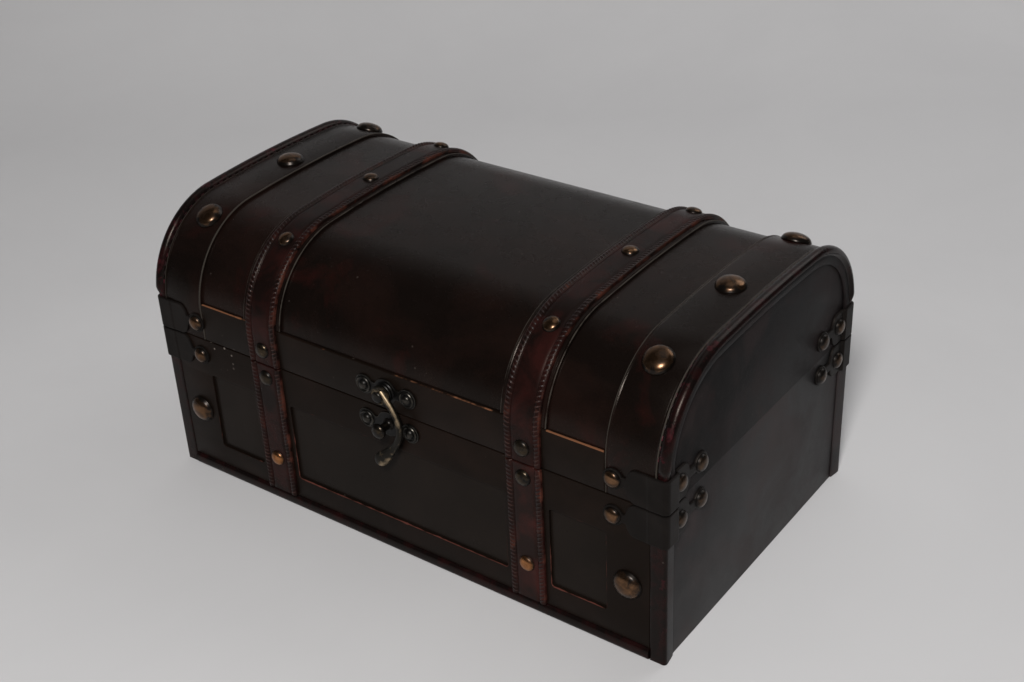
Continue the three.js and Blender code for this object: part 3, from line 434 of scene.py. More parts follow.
def brass(name, clean, patina, rubbed, rough, dented=0.3):
    metal = Finish(name)
    cloud = metal.times(metal.mottle(210.0, 0.3, 0.75), 0.55)
    bright = metal.between(metal.plus(metal.times(metal.wear(), rubbed), cloud), 0.35, 1.0)
    metal.tones(bright, patina, clean)
    dents = metal.times(metal.noise(metal.where, 230.0, 2.0), 2.0)
    relief = metal.plus(metal.noise(metal.where, 1500.0, 3.0), dents)
    gloss = metal.between(bright, 0.0, 1.0, rough + 0.16, rough)
    metallic = metal.between(bright, 0.0, 0.4, 0.75, 1.0)
    return metal.done(gloss, relief, dented, 0.06 * MM, Metallic=metallic)


thread = sewing("top_shaded_thread", (0.0105, 0.0043, 0.0037), (0.034, 0.0115, 0.0078))
crimson_thread = sewing("crimson_thread", (0.008, 0.0032, 0.0034), (0.07, 0.007, 0.013))

paper = Finish("lining_paper")
fibre = paper.noise(paper.where, 700.0, 6.0, 0.7)
paper.tones(paper.mottle(12.0, 0.35, 0.7), *PAPER)
lining = paper.done(paper.between(fibre, 0.3, 0.7, 0.72, 0.9), fibre, 0.5, 0.2 * MM)

nail_brass = brass("nail_brass", (0.26, 0.14, 0.074), (0.0115, 0.0082, 0.0062), 0.38, 0.14, 0.14)
# The next two are darker copies of the nail brass, a painted shade on the nails of the ends, by the seam
# and on the stud; the one after is a lighter copy, a painted highlight on the lowest strap nails.
shaded_end_nail_brass = brass("shaded_end_nail_brass", (0.17, 0.11, 0.072), (0.0105, 0.0082, 0.0068), 0.34, 0.2, 0.25)
shaded_nail_brass = brass("shaded_nail_brass", (0.12, 0.088, 0.056), (0.0085, 0.0066, 0.0052), 0.3, 0.17)
lit_nail_brass = brass("lit_nail_brass", (0.46, 0.2, 0.08), (0.03, 0.016, 0.009), 0.6, 0.2, 0.2)
plate_brass = brass("plate_brass", (0.09, 0.082, 0.07), (0.0068, 0.0062, 0.0058), 0.45, 0.24)
horn_brass = brass("horn_brass", (0.62, 0.47, 0.3), (0.012, 0.01, 0.0072), 0.75, 0.33)
hinge_brass = brass("hinge_brass", (0.22, 0.16, 0.095), (0.03, 0.022, 0.016), 0.5, 0.34)
print("finishes", len(bpy.data.materials))

# %% [markdown]
# ## Mesh helpers
#
# New pieces are bmeshes. `pull` draws a closed section, pulls it along the path and cuts it into
# short lengths, which is how straps, bands and piping are made. `plate` thickens a flat outline and
# rounds its upper rim, for patches and metal plates. `lathe` spins a profile, for nails and knobs.
# `make` turns the finished bmesh into an object that rides on its body. NEAR is the distance within
# which two places count as the same level.

# %% Mesh helpers
NEAR = 0.1 * MM


def blank():
    """An empty bmesh, and the layer that holds its wear numbers."""
    bm = bmesh.new()
    return bm, bm.verts.layers.float.new("wear")


def rub(bm, wear):
    """Gives every point its wear number, from a function of its place."""
    layer = bm.verts.layers.float["wear"]
    for vert in bm.verts:
        vert[layer] = wear(vert.co)
    return bm


def unworn(co):
    return 0.0


def round_off(bm, edges, width, segments=2):
    """Rounds edges and marks the new points as worn."""
    look = {"segments": segments, "profile": 0.5, "affect": "EDGES", "material": -1}
    result = bmesh.ops.bevel(bm, geom=edges, offset=width, clamp_overlap=True, **look)
    for vert in result["verts"]:
        vert[bm.verts.layers.float["wear"]] = 1.0
    return bm


def drawn(points):
    """A new bmesh with one face through the points."""
    bm, _ = blank()
    return bm, bm.faces.new([bm.verts.new(point) for point in points])


def box_of(size):
    bm, _ = blank()
    bmesh.ops.create_cube(bm, size=1)
    bmesh.ops.scale(bm, vec=size, verts=bm.verts)
    return bm


def thicken(bm, faces, offset):
    """Extrudes faces by an offset, closes the body and gives its new points."""
    lifted = bmesh.ops.extrude_face_region(bm, geom=faces)["geom"]
    tops = [item for item in lifted if isinstance(item, bmesh.types.BMVert)]
    bmesh.ops.translate(bm, verts=tops, vec=offset)
    bmesh.ops.recalc_face_normals(bm, faces=bm.faces)
    return tops


def reach_of(edge, axis):
    """How far an edge runs along an axis."""
    return abs(edge.verts[0].co[axis] - edge.verts[1].co[axis])


def pull(section, start_at, end_at, step, wear=unworn, ease=0.3 * MM):
    """Pulls a closed section of (x, rise) points along the path."""
    bm, face = drawn([(x, start_at, rise) for x, rise in section])
    length = end_at - start_at
    thicken(bm, [face], (0, length, 0))
    if ease:
        round_off(bm, [e for e in bm.edges if reach_of(e, 1) < length / 2], ease, 1)
    runs = [e for e in bm.edges if reach_of(e, 1) > length / 2]
    bmesh.ops.subdivide_edges(bm, edges=runs, cuts=max(1, int(length / step)), use_grid_fill=True)
    return rub(bm, wear)


def plate(outline, thickness, edge):
    """A flat outline in X and Y, thickened upwards, its upper rim rounded."""
    bm, face = drawn([(x, y, 0) for x, y in outline])
    thicken(bm, [face], (0, 0, thickness))
    return round_off(bm, [e for e in bm.edges if all(v.co.z > thickness * 0.9 for v in e.verts)], edge)


def calm(bm, level, width):
    """Insets the flat top at a level, so that the wear stays on its rim."""
    tops = [f for f in bm.faces if all(v.co.z > level - 1e-6 for v in f.verts)]
    bmesh.ops.inset_region(bm, faces=tops, thickness=width, use_even_offset=True)
    for vert in {v for face in tops for v in face.verts}:
        vert[bm.verts.layers.float["wear"]] = 0.0
    return bm


def slice_at(bm, axis, places):
    """Cuts a mesh by planes across an axis, without opening it."""
    for place in places:
        point, way = Vector((0, 0, 0)), Vector((0, 0, 0))
        point[axis], way[axis] = place, 1
        whole = bm.verts[:] + bm.edges[:] + bm.faces[:]
        bmesh.ops.bisect_plane(bm, geom=whole, plane_co=point, plane_no=way, dist=1e-6)


def in_mm(points):
    return [(a * MM, b * MM) for a, b in points]


def arc(x, y, radius, start, stop, step):
    """Points on an arc, by its angles in whole degrees."""
    turns = [math.radians(turn) for turn in range(start, stop + (1 if step > 0 else -1), step)]
    return [(x + radius * math.cos(turn), y + radius * math.sin(turn)) for turn in turns]


def lathe(profile, steps=28, wear=unworn):
    """Spins a profile of (radius, height) points round Z."""
    bm, _ = blank()
    chain = [bm.verts.new((radius, 0, height)) for radius, height in profile]
    edges = [bm.edges.new(pair) for pair in zip(chain, chain[1:])]
    turn = {"cent": (0, 0, 0), "axis": (0, 0, 1), "angle": 2 * math.pi}
    bmesh.ops.spin(bm, geom=chain + edges, steps=steps, use_merge=True, **turn)
    bmesh.ops.remove_doubles(bm, verts=bm.verts, dist=1e-6)
    bmesh.ops.recalc_face_normals(bm, faces=bm.faces)
    return rub(bm, wear)


def mesh_of(name, bm):
    """The mesh of a bmesh, which is freed."""
    mesh = bpy.data.meshes.new(name)
    bm.to_mesh(mesh)
    bm.free()
    return mesh


def gathered(parts):
    """Joins several bmeshes into one."""
    whole, _ = blank()
    for part in parts:
        mesh = mesh_of("part", part)
        whole.from_mesh(mesh)
        bpy.data.meshes.remove(mesh)
    return whole


def moved(bm, matrix):
    bmesh.ops.transform(bm, matrix=matrix, verts=bm.verts)
    return bm


def flipped(bm, x, y, z):
    """Turns a mesh over by 1 or -1 along each axis. Its normals stay outward."""
    bmesh.ops.scale(bm, vec=(x, y, z), verts=bm.verts)
    if x * y * z < 0:
        bmesh.ops.reverse_faces(bm, faces=bm.faces)
    return bm


def mirrored(bm, side, face):
    """Takes a piece of the front right corner to another corner."""
    return flipped(bm, side, -face, 1)


def put(name, data):
    """An object for a mesh, a light or a camera, in the scene."""
    made = bpy.data.objects.new(name, data)
    bpy.context.scene.collection.objects.link(made)
    return made


def make(name, bm, finish, body, slot, *replaced, sharp=38):
    """Makes the object, smooth except across sharp edges, and lets it ride on its body."""
    for face in bm.faces:
        face.smooth = True
    for edge in bm.edges:
        edge.smooth = edge.is_manifold and edge.calc_face_angle() < math.radians(sharp)
    piece = put(name, mesh_of(name, bm))
    for one in finish if isinstance(finish, list) else [finish]:
        piece.data.materials.append(one)
    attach(piece, body)
    if replaced:
        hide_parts(*replaced)


print("mesh helpers ready")

# %% [markdown]
# ## The dome and the boards
#
# The dome is one bent sheet. Its section is a thin slab across the whole length, pulled over the
# path. The outside is leatherette and the inside is lined, so the faces that look inwards take the
# second material. The front, back and bottom boards keep their CAD meshes. A board's finish is
# leatherette outside and lining inside, and it tells the two apart by where a point lies.

# %% The dome and the boards
SHELL = 4 * MM
WALL = 6 * MM
SEAM_LINE = 0.08 * MM

xs = [HALF_BOX * (i / 6 - 1) for i in range(13)]
slab = [(x, -SHELL) for x in xs] + [(x, 0) for x in reversed(xs)]
dome = lay(pull(slab, 0, WHOLE_WAY, 2.5 * MM, ease=0))
for face in dome.faces:
    y, z = face.calc_center_median()[1:]
    inward = face.normal.y * y + face.normal.z * (z - SEAM_TOP) < 0
    face.material_index = 1 if inward else 0
make("lid_dome_sheet", dome, [dome_leather, lining], "lid", "leatherette", "lid_dome")


def boards(name, dark, light, shine, floor_reflection=0.0, blotch_scale=30.0, blotches=0.4):
    """Leatherette outside and lining inside the box. A painted reflection of the floor pales it towards the
    bottom.
    """
    board = Finish(name)
    x, y, z = board.add("ShaderNodeSeparateXYZ", {"Vector": board.where}).outputs
    tone = board.mottle(11.0, 0.3, 0.72)
    pale = board.mottle(blotch_scale, 0.46, 0.62)
    slanted = {"Vector": board.where, "Rotation": (0.85, 0, 0), "Scale": (1, 1, 0.22)}
    slanted = board.add("ShaderNodeMapping", slanted).outputs[0]
    board.tones(tone, dark, light)
    board.paint(board.mottle(55.0, 0.6, 0.72), (0.036, 0.015, 0.013), 0.3)
    board.paint(pale, (0.038, 0.0265, 0.026), blotches)
    board.paint(board.mottle(26.0, 0.54, 0.7, slanted), [0.8 * c for c in dark], 0.55)
    board.paint(board.specks(180.0, 0.05, 0.14), (0.12, 0.11, 0.1), 0.3)
    # Painted reflection: the pale floor is painted in patches over the lower part of the ends.
    foot = board.between(z, 0.0, 120 * MM, floor_reflection, 0.0)
    board.paint(board.mottle(26.0, 0.25, 0.7), (0.075, 0.07, 0.07), foot)
    inside = board.calc("GREATER_THAN", z, 4.8 * MM)
    for way, wall in ((x, HALF_BOX), (y, WALL_FACE)):
        within = board.calc("LESS_THAN", board.calc("ABSOLUTE", way), wall - WALL + GAP)
        inside = board.times(inside, within)
    board.paint(inside, board.blend(tone, *PAPER))
    gloss = board.calc("MULTIPLY_ADD", board.plus(tone, pale), 0.1, 0.33)
    gloss = board.plus(gloss, board.times(inside, 0.38))
    waves = board.times(board.noise(board.where, 30.0, 2.0), 6.0)
    relief = board.plus(board.use(grain, Scale=1100.0)["Height"], waves)
    relief = board.plus(relief, board.times(inside, board.noise(board.where, 700.0, 5.0)))
    return board.done(gloss, relief, 0.45, 0.05 * MM, shine)


base_end_finish = boards(
    "base_end_leatherette", (0.0066, 0.0063, 0.0067), (0.0148, 0.0134, 0.0137),
    shine=0.085, floor_reflection=0.52, blotch_scale=21.0, blotches=0.85,
)
# The lid's ends take a darker copy of the end finish: painted shade on the upper part of each end.
lid_end_finish = boards(
    "lid_end_leatherette", (0.0046, 0.0042, 0.0043), (0.0094, 0.0082, 0.0082),
    shine=0.05, floor_reflection=0.46,
)
wall_finish = boards("wall_leatherette", (0.009, 0.0065, 0.005), (0.012, 0.0085, 0.0068), shine=0.2)
for name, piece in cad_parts.items():
    if name.endswith("_board"):
        piece.data.materials.clear()
        piece.data.materials.append(wall_finish)


def end_board(outline, side):
    """An end board drawn in (y, z), standing across X. Its outer rim is rounded but for the seam."""
    bm, face = drawn([(HALF_BOX - WALL, y, z) for y, z in outline])
    thicken(bm, [face], (WALL, 0, 0))
    outer = [e for e in bm.edges if all(v.co.x > HALF_BOX - NEAR for v in e.verts)]
    rim = [e for e in outer if any(abs(v.co.z - BASE_TOP) > MM for v in e.verts)]
    return mirrored(round_off(bm, rim, 0.25 * MM), side, -1)


inner_y = WALL_FACE - WALL - GLUE
square = [(-inner_y, 0), (inner_y, 0), (inner_y, BASE_TOP), (-inner_y, BASE_TOP)]
arch = [path(WHOLE_WAY * i / 90) for i in range(91)]
arch = [(y - ny * (SHELL + GLUE), z - nz * (SHELL + GLUE)) for y, z, ny, nz in arch]
for i in (0, -1):
    arch[i] = (arch[i][0], BASE_TOP + SEAM_LINE)
for word, side in SIDES.items():
    for body, outline, finish in (("base", square, base_end_finish), ("lid", arch, lid_end_finish)):
        board = end_board(outline, side)
        make(f"{body}_{word}_leathered_end", board, finish, body, "board", f"{body}_{word}_end_board")
print("boards finished")

# %% [markdown]
# ## Bands, rails and strap backings
#
# A second layer of leatherette borders the dome: a wide band at each end, a rail along the seam and
# a strip under each strap. Its edges are turned under, which leaves a low soft ridge along them, and
# there the colour has rubbed off. `edged_strip` pulls that section over the dome. The rails are
# plain bars, cut fine enough to be rubbed through in places.

# %% Bands, rails and backings
RIDGE = 0.2 * MM
WORN_WIDTH = 0.9 * MM
RAIL_HEIGHT = 24 * MM
BACKING_START = 24.3 * MM
RAIL_WEAR = [(-139, -106, 0.85), (8, 74, 0.55), (105, 139, 1.1)]


def edged_strip(x0, x1, start_at, strength):
    """A strip over the dome. Each edge is a quarter round, a ridge and a shallow groove."""
    low, high = SHEET
    edge = [(0, low), (0, high - 0.45 * MM), (0.18 * MM, high), (0.55 * MM, high + RIDGE)]
    edge += [(1.1 * MM, high + 0.7 * RIDGE), (1.7 * MM, high - 0.18 * MM), (2.4 * MM, high)]
    section = [(x0 + x, rise) for x, rise in edge] + [(x1 - x, rise) for x, rise in reversed(edge)]

    def wear(co):
        near = min(abs(co.x - x0), abs(co.x - x1)) < WORN_WIDTH
        return strength if near and co.z > high - NEAR else 0.0

    return lay(pull(section, start_at, WHOLE_WAY - start_at, 2.5 * MM, wear))


for word, side in SIDES.items():
    band = mirrored(edged_strip(BAND_EDGE, PIPING_EDGE - GAP, 0, 1.0), side, -1)
    make(f"lid_{word}_end_band", band, dome_leather, "lid", "leatherette", f"lid_{word}_band")
    backing = edged_strip(STRAP_X - BACKING / 2, STRAP_X + BACKING / 2, BACKING_START, 0.6)
    backing = mirrored(backing, side, -1)
    make(f"lid_{word}_backing", backing, dome_leather, "lid", "leatherette", f"lid_{word}_strap_backing")


def rail(face):
    """The rail along the seam. In front, its upper edge is rubbed through in three places."""
    low, high = SHEET
    bm = box_of((2 * (BAND_EDGE - GAP), RAIL_HEIGHT, high - low))
    bmesh.ops.translate(bm, vec=(0, RAIL_HEIGHT / 2, (low + high) / 2), verts=bm.verts)
    tops = [e for e in bm.edges if all(v.co.z > high - NEAR for v in e.verts)]
    round_off(bm, tops, 0.45 * MM, 3)
    slice_at(bm, 0, [step * 2 * MM for step in range(-69, 70)])
    slice_at(bm, 1, [cut * MM for cut in (19, 21, 22.9, 23.3)])

    def wear(co):
        rubbed = [share for a, b, share in RAIL_WEAR if face < 0 and a < co.x / MM < b]
        upper = co.y > RAIL_HEIGHT - 0.6 * MM and co.z > low + 0.3 * MM
        return max(rubbed, default=0.3) if upper else 0.0

    return rub(bm, wear)


for word, face in FACES.items():
    strip = mirrored(lay(rail(face)), 1, face)
    make(f"lid_{word}_seam_rail", strip, rail_leather, "lid", "leatherette", f"lid_{word}_rail")
print("bands, backings and rails laid")

# %% [markdown]
# ## The frames and their windows
#
# Front and back of the base carry a sheet of leatherette with three windows cut in it, so the wall
# behind shows as sunk panels. A grid is cut at the windows' edges, the faces inside are deleted, and
# the windows' corners are rounded while the sheet is still flat. Then it is thickened, and the rims
# are rounded and marked as worn. The pale rim along each window's lower edge, which faces up, is
# partly wear and partly a painted highlight.

# %% The frames and their windows
WINDOW_LOW = BEAD_TOP + 14 * MM
WINDOW_HIGH = BASE_TOP - RAIL_HEIGHT
WINDOW_ROUND = 1.6 * MM
near_strap, past_strap = STRAP_X - BACKING / 2, STRAP_X + BACKING / 2
BAYS = [(-BAND_EDGE, -past_strap), (-near_strap, near_strap), (past_strap, BAND_EDGE)]
bay_ends = [x for bay in BAYS for x in bay]
window_ends = [WINDOW_LOW - SEAM_TOP, WINDOW_HIGH - SEAM_TOP]


def at_one_of(value, places):
    return any(abs(value - place) < 1e-6 for place in places)


def window_frame():
    outer = BINDING_EDGE - GAP
    low, high = BEAD_TOP + GAP - SEAM_TOP, BASE_TOP - GAP - SEAM_TOP
    corners = [(-outer, low), (outer, low), (outer, high), (-outer, high)]
    bm, _ = drawn([(x, along, SHEET[0]) for x, along in corners])
    slice_at(bm, 0, bay_ends)
    slice_at(bm, 1, window_ends)
    holes = []
    for face in bm.faces:
        x, along, _ = face.calc_center_median()
        if any(a < x < b for a, b in BAYS) and window_ends[0] < along < window_ends[1]:
            holes.append(face)
    bmesh.ops.delete(bm, geom=holes, context="FACES")
    corners = [v for v in bm.verts if at_one_of(v.co.x, bay_ends) and at_one_of(v.co.y, window_ends)]
    look = {"segments": 4, "profile": 0.5, "affect": "VERTICES", "material": -1}
    bmesh.ops.bevel(bm, geom=corners, offset=WINDOW_ROUND, **look)
    tops = set(thicken(bm, bm.faces[:], (0, 0, SHEET[1] - SHEET[0])))
    rims = [e for e in bm.edges if tops.issuperset(e.verts) and e.calc_face_angle(0) > 1.0]
    return round_off(bm, rims, 0.5 * MM, 3)


def rim_wear_and_highlight(co):
    """How much of the wear is left at a place: all of it on the windows' lower edges, where it is partly a
    painted highlight.
    """
    z = co.y + SEAM_TOP
    if z > BASE_TOP - 1.5 * MM or z < BEAD_TOP + 1.5 * MM or abs(co.x) > BINDING_EDGE - MM:
        return 0.25
    if z > WINDOW_LOW + 3 * MM:
        return 0.5 if z > WINDOW_HIGH - 3 * MM else 0.15
    # Lower rims: wear and a painted highlight where the edge faces up.
    return 0.6 if co.x < BAYS[0][1] + MM else 1.0


for word, face in FACES.items():
    sheet = window_frame()
    for vert in sheet.verts:
        vert[sheet.verts.layers.float["wear"]] *= rim_wear_and_highlight(vert.co)
    sheet = mirrored(lay(sheet), 1, face)
    make(f"base_{word}_window_frame", sheet, frame_leather, "base", "leatherette", f"base_{word}_frame")
print("frames cut, windows", [[round(c / MM, 1) for c in bay] for bay in BAYS])

# %% [markdown]
# ## Sunk panels
#
# The leatherette in each window is stretched over the board, and it swells very slightly in its
# middle. A grid of small faces is lifted by two soft curves, one along each side.

# %% Sunk panels
def swell(share):
    """0 at both ends of a side, and close to 1 over most of it."""
    return 1 - abs(2 * share - 1) ** 4


def sunk_panel(x0, x1):
    bm, _ = blank()
    bmesh.ops.create_grid(bm, x_segments=24, y_segments=16, size=0.5)
    x0, x1 = x0 - MM, x1 + MM
    y0, y1 = window_ends[0] - MM, window_ends[1] + MM
    for vert in bm.verts:
        u, v = vert.co.x + 0.5, vert.co.y + 0.5
        lift = 0.04 * MM + 0.5 * MM * swell(u) * swell(v)
        vert.co = (x0 + (x1 - x0) * u, y0 + (y1 - y0) * v, lift)
    thicken(bm, bm.faces[:], (0, 0, -0.03 * MM))
    return bm


for word, face in FACES.items():
    for number, (x0, x1) in enumerate(BAYS):
        panel = mirrored(lay(sunk_panel(x0, x1)), 1, face)
        make(f"base_{word}_panel_{number + 1}", panel, panel_leather, "base", "leatherette")
print("six panels set in")

# %% [markdown]
# ## Foot beads and corner bindings
#
# A round-fronted bead closes the foot of the front and back, and a folded strip of leather binds
# each upright corner. Both have one section from end to end, so both are pulled. The bead's section
# stands on end and is pulled along X, so it is turned after it is made. The flap of a binding that
# lies on the end board is pared thinner towards its edge and has the board's finish.

# %% Foot beads and corner bindings
BEAD_DEPTH = 3.2 * MM
BINDING_FACE = 1.9 * MM


def bead():
    r, out = 2.5 * MM, GLUE + BEAD_DEPTH
    section = [(GLUE, 0)] + arc(out - r, r, r, -90, 0, 15)
    section += arc(out - r, BEAD_TOP - r, r, 0, 90, 15) + [(GLUE, BEAD_TOP)]
    half = BINDING_EDGE - GAP

    def wear(co):
        return 0.4 if co.x > GLUE + BEAD_DEPTH * 0.75 and abs(co.y) < half else 0.1

    turn = Matrix(((0, 1, 0), (-1, 0, 0), (0, 0, 1))).to_4x4()
    bm = moved(pull(section, -half, half, 4 * MM, wear), Matrix.Translation((0, -WALL_FACE, 0)) @ turn)
    bmesh.ops.recalc_face_normals(bm, faces=bm.faces)
    return bm


for word, face in FACES.items():
    round_bead = mirrored(bead(), 1, face)
    make(f"base_{word}_bead", round_bead, piping_leather, "base", "piping", f"base_{word}_foot_bead")


def binding_section():
    """An L of leather round an upright corner: x outwards, rise in front of the wall."""
    inner_x, out, thin_x = HALF_BOX + GLUE, BINDING_FACE, OUT_X - 1.1 * MM
    soft, r, fine, end = 0.7 * MM, 1.8 * MM, 0.4 * MM, BINDING_FACE - BINDING_REACH
    points = [(inner_x, GLUE), (BINDING_EDGE, GLUE), (BINDING_EDGE, out - soft)]
    points += arc(BINDING_EDGE + soft, out - soft, soft, 180, 90, -30)
    points += [(BINDING_EDGE + 2.2 * MM, out), (BINDING_EDGE + 3.6 * MM, out - 0.05 * MM)]
    points += arc(OUT_X - r, out - r, r, 90, 0, -15)
    points += [(OUT_X - 0.1 * MM, out - 3.2 * MM), (thin_x + 0.2 * MM, end + 1.2 * MM)]
    points += arc(thin_x - fine, end + fine, fine, 0, -90, -30) + [(inner_x, end)]
    return [p for i, p in enumerate(points) if i == 0 or math.dist(p, points[i - 1]) > 0.02 * MM]


def binding_wear(co):
    corner = co.x > OUT_X - 2.2 * MM and co.z > -0.5 * MM
    edge = co.x < BINDING_EDGE + 1.2 * MM and co.z > MM
    return 0.7 if corner else 0.55 if edge else 0.1


for names, corner in CORNERS.items():
    binding = pull(binding_section(), -SEAM_TOP, BASE_TOP - SEAM_TOP, 4 * MM, binding_wear)
    for face in binding.faces:
        face.material_index = 1 if face.calc_center_median().z < 0 else 0
    binding = mirrored(lay(binding), *corner)
    finishes = [piping_leather, base_end_finish]
    make(f"base_corner_binding_{names}", binding, finishes, "base", "piping", f"base_binding_{names}")
print("beads and bindings on")

# %% [markdown]
# ## Piping round the ends of the lid
#
# The piping is a round bead of leather on the edge of the arched end, with a groove and a flange
# that lies on the end board. Under the corner patches it is pressed flat. Both shapes are drawn with
# the same number of points, and each point slides from one to the other over a few millimetres.

# %% Piping
PIPING_FLANGE = 6.5 * MM
PIPING_FADE = 5 * MM
PATCH_TOP = 20.8 * MM
STITCH_PITCH = 5.2 * MM


def piping_shapes():
    """The full section and the pressed section, point for point."""
    outer, inner, end = OUT_X, HALF_BOX + GLUE, -PIPING_FLANGE
    radius = (outer + 1.1 * MM - PIPING_EDGE) / 2
    foot = SHEET[1] + 2.4 * MM - radius
    groove = (outer - inner) / 2
    full, pressed = [], []
    for i in range(15):
        a = math.pi * (1 - i / 14)
        full.append((PIPING_EDGE + radius * (1 + math.cos(a)), foot + radius * math.sin(a)))
    for share in (0, 0.2, 0.4, 0.6, 0.8):
        pressed.append((PIPING_EDGE + 1.4 * MM * share, BINDING_FACE - 0.8 * MM * (1 - share) ** 2))
    pressed += arc(outer - 1.8 * MM, BINDING_FACE - 1.8 * MM, 1.8 * MM, 90, 0, -10)
    bends = [(0.5, 1.1), (1, 1.8), (0.95, 2.5), (0.7, 3.1)]
    full += [(outer - share * groove, foot - down * MM) for share, down in bends]
    full += [(outer - 0.7 * groove, end + 0.8 * MM), (outer - 1.3 * groove, end)]
    pressed += [(outer, -1.7 * MM + (2.5 * MM + end) * share) for share in (0.1, 0.2, 0.3, 0.45)]
    pressed += [(outer, end + 0.8 * MM), (outer - groove, end)]
    inside = [(inner, end), (inner, GLUE), (PIPING_EDGE, GLUE)]
    return inside + full, inside + pressed


def piping():
    full, pressed = piping_shapes()
    bm = pull(full, 0, WHOLE_WAY, 2 * MM, ease=0)
    wear = bm.verts.layers.float["wear"]
    for vert in bm.verts:
        nearest = min(range(len(full)), key=lambda i: math.dist((vert.co.x, vert.co.z), full[i]))
        from_seam = min(vert.co.y, WHOLE_WAY - vert.co.y)
        share = eased((from_seam - PATCH_TOP) / PIPING_FADE)
        x, rise = pressed[nearest]
        vert.co.x = x + (vert.co.x - x) * share
        vert.co.z = rise + (vert.co.z - rise) * share
        vert[wear] = 0.9 if 6 <= nearest <= 13 else 0.15
    for face in bm.faces:
        face.material_index = 1 if face.calc_center_median().z < -1.2 * MM else 0
    return lay(bm)


def piping_stitches():
    """A row of short rounded stitches in the corner between the piping and the band."""
    parts = []
    for i in range(int((WHOLE_WAY - 60 * MM) / STITCH_PITCH)):
        stitch = box_of((0.55 * MM, 2.6 * MM, 0.55 * MM))
        round_off(stitch, stitch.edges[:], 0.55 * MM * 0.42)
        place = seat(PIPING_EDGE - 0.05 * MM, 30 * MM + STITCH_PITCH * i, SHEET[1] + 0.25 * MM)
        parts.append(moved(stitch, place))
    return gathered(parts)


for word, side in SIDES.items():
    finishes = [piping_leather, lid_end_finish]
    cord = mirrored(piping(), side, -1)
    make(f"lid_{word}_end_piping", cord, finishes, "lid", "piping", f"lid_{word}_piping")
    sewn = mirrored(piping_stitches(), side, -1)
    make(f"lid_{word}_piping_stitches", sewn, crimson_thread, "lid", "piping")
print("piping on")

# %% [markdown]
# ## Straps and their stitching
#
# Each strap is a flat leather band between two rolled edges that are oversewn with slanting
# stitches, like a rope. The section comes from one function that gives the strap's height at any
# place across it, and the stitches take their height from the same function, so they always hug
# the rolls.

# %% Straps
STRAP_HALF = 11 * MM
ROLL = 3.8 * MM
ROLL_TOP = 2.35 * MM
STRAP_BED = 1.7 * MM
WHIP_PITCH = 2.5 * MM
BASE_RUN = (BEAD_TOP + GAP - SEAM_TOP, BASE_TOP - GAP - SEAM_TOP)
LID_RUN = (GAP, WHOLE_WAY - GAP)


def strap_height(x):
    """Height of the strap's surface above its bed, at x from its middle."""
    inward = STRAP_HALF - abs(x)
    if inward <= ROLL:
        share = max(-1.0, min(1.0, inward / (ROLL / 2) - 1))
        return ROLL_TOP * (0.42 + 0.58 * math.sqrt(max(0.0, 1 - share * share * 0.94)))
    return ROLL_TOP * 0.56 + 0.42 * MM * eased((inward - ROLL) / (1.6 * MM))


def strap_section(middle):
    ins = [0, 0.12, 0.4, 0.9, 1.4, 1.9, 2.4, 2.9, 3.35, 3.7, 3.95, 4.5, 5.2, 6.2, 8.2]
    left = [(-STRAP_HALF + i * MM, strap_height(-STRAP_HALF + i * MM)) for i in ins]
    right = [(-x, rise) for x, rise in reversed(left)]
    base = [(STRAP_HALF, 0), (-STRAP_HALF, 0)]
    return [(middle + x, STRAP_BED + rise) for x, rise in base + left + right]


def strap(middle, start_at, end_at):
    def wear(co):
        inward = STRAP_HALF - abs(co.x - middle)
        if inward < 0.5 * MM:
            return 1.0
        return 0.7 if inward < ROLL else 0.25 if inward < ROLL + 1.5 * MM else 0.0

    return lay(pull(strap_section(middle), start_at, end_at, 2.5 * MM, wear))


def whip_stitches(middle, start_at, end_at):
    """Slanting stitches over both rolled edges, each bent to hug its roll and narrow at its ends."""
    parts = []
    count = int((end_at - start_at) / WHIP_PITCH) - 1
    for side, i in [(side, i) for side in (-1, 1) for i in range(count)]:
        bm = box_of((3.9 * MM, 0.75 * MM, 0.5 * MM))
        runs = [e for e in bm.edges if reach_of(e, 0) > MM]
        bmesh.ops.subdivide_edges(bm, edges=runs, cuts=5, use_grid_fill=True)
        for vert in bm.verts:
            x, y, z = vert.co
            narrow = 1 - (x / (2.05 * MM)) ** 4
            across = side * (STRAP_HALF - ROLL / 2 - 0.1 * MM) + x
            along = start_at + WHIP_PITCH * (i + 1) + y * narrow + 0.42 * x * side
            rise = STRAP_BED + strap_height(across) + 0.04 * MM + z * narrow
            vert.co = (middle + across, along, rise)
        parts.append(lay(bm))
    return gathered(parts)


for word, side in SIDES.items():
    over = strap(side * STRAP_X, *LID_RUN)
    make(f"lid_{word}_leather_strap", over, strap_leather, "lid", "strap", f"lid_{word}_strap")
    sewn = whip_stitches(side * STRAP_X, *LID_RUN)
    make(f"lid_{word}_strap_stitches", sewn, thread, "lid", "strap", sharp=60)
for names, corner in CORNERS.items():
    drop = mirrored(strap(STRAP_X, *BASE_RUN), *corner)
    finish = rubbed_strap if names == "front_right" else strap_leather
    make(f"base_leather_strap_{names}", drop, finish, "base", "strap", f"base_strap_{names}")
    sewn = mirrored(whip_stitches(STRAP_X, *BASE_RUN), *corner)
    make(f"base_strap_stitches_{names}", sewn, thread, "base", "strap", sharp=60)
print("straps laid and sewn")

# %% [markdown]
# ## Nails
#
# A decorative nail is a thin domed cap with a narrow rim, spun from a profile. No two are driven
# quite alike, so each is tipped by a few degrees, and noise decides which way. Blender starts this
# noise from the clock unless it is given a seed, so it gets one here, and every run tips each nail
# in the same way.

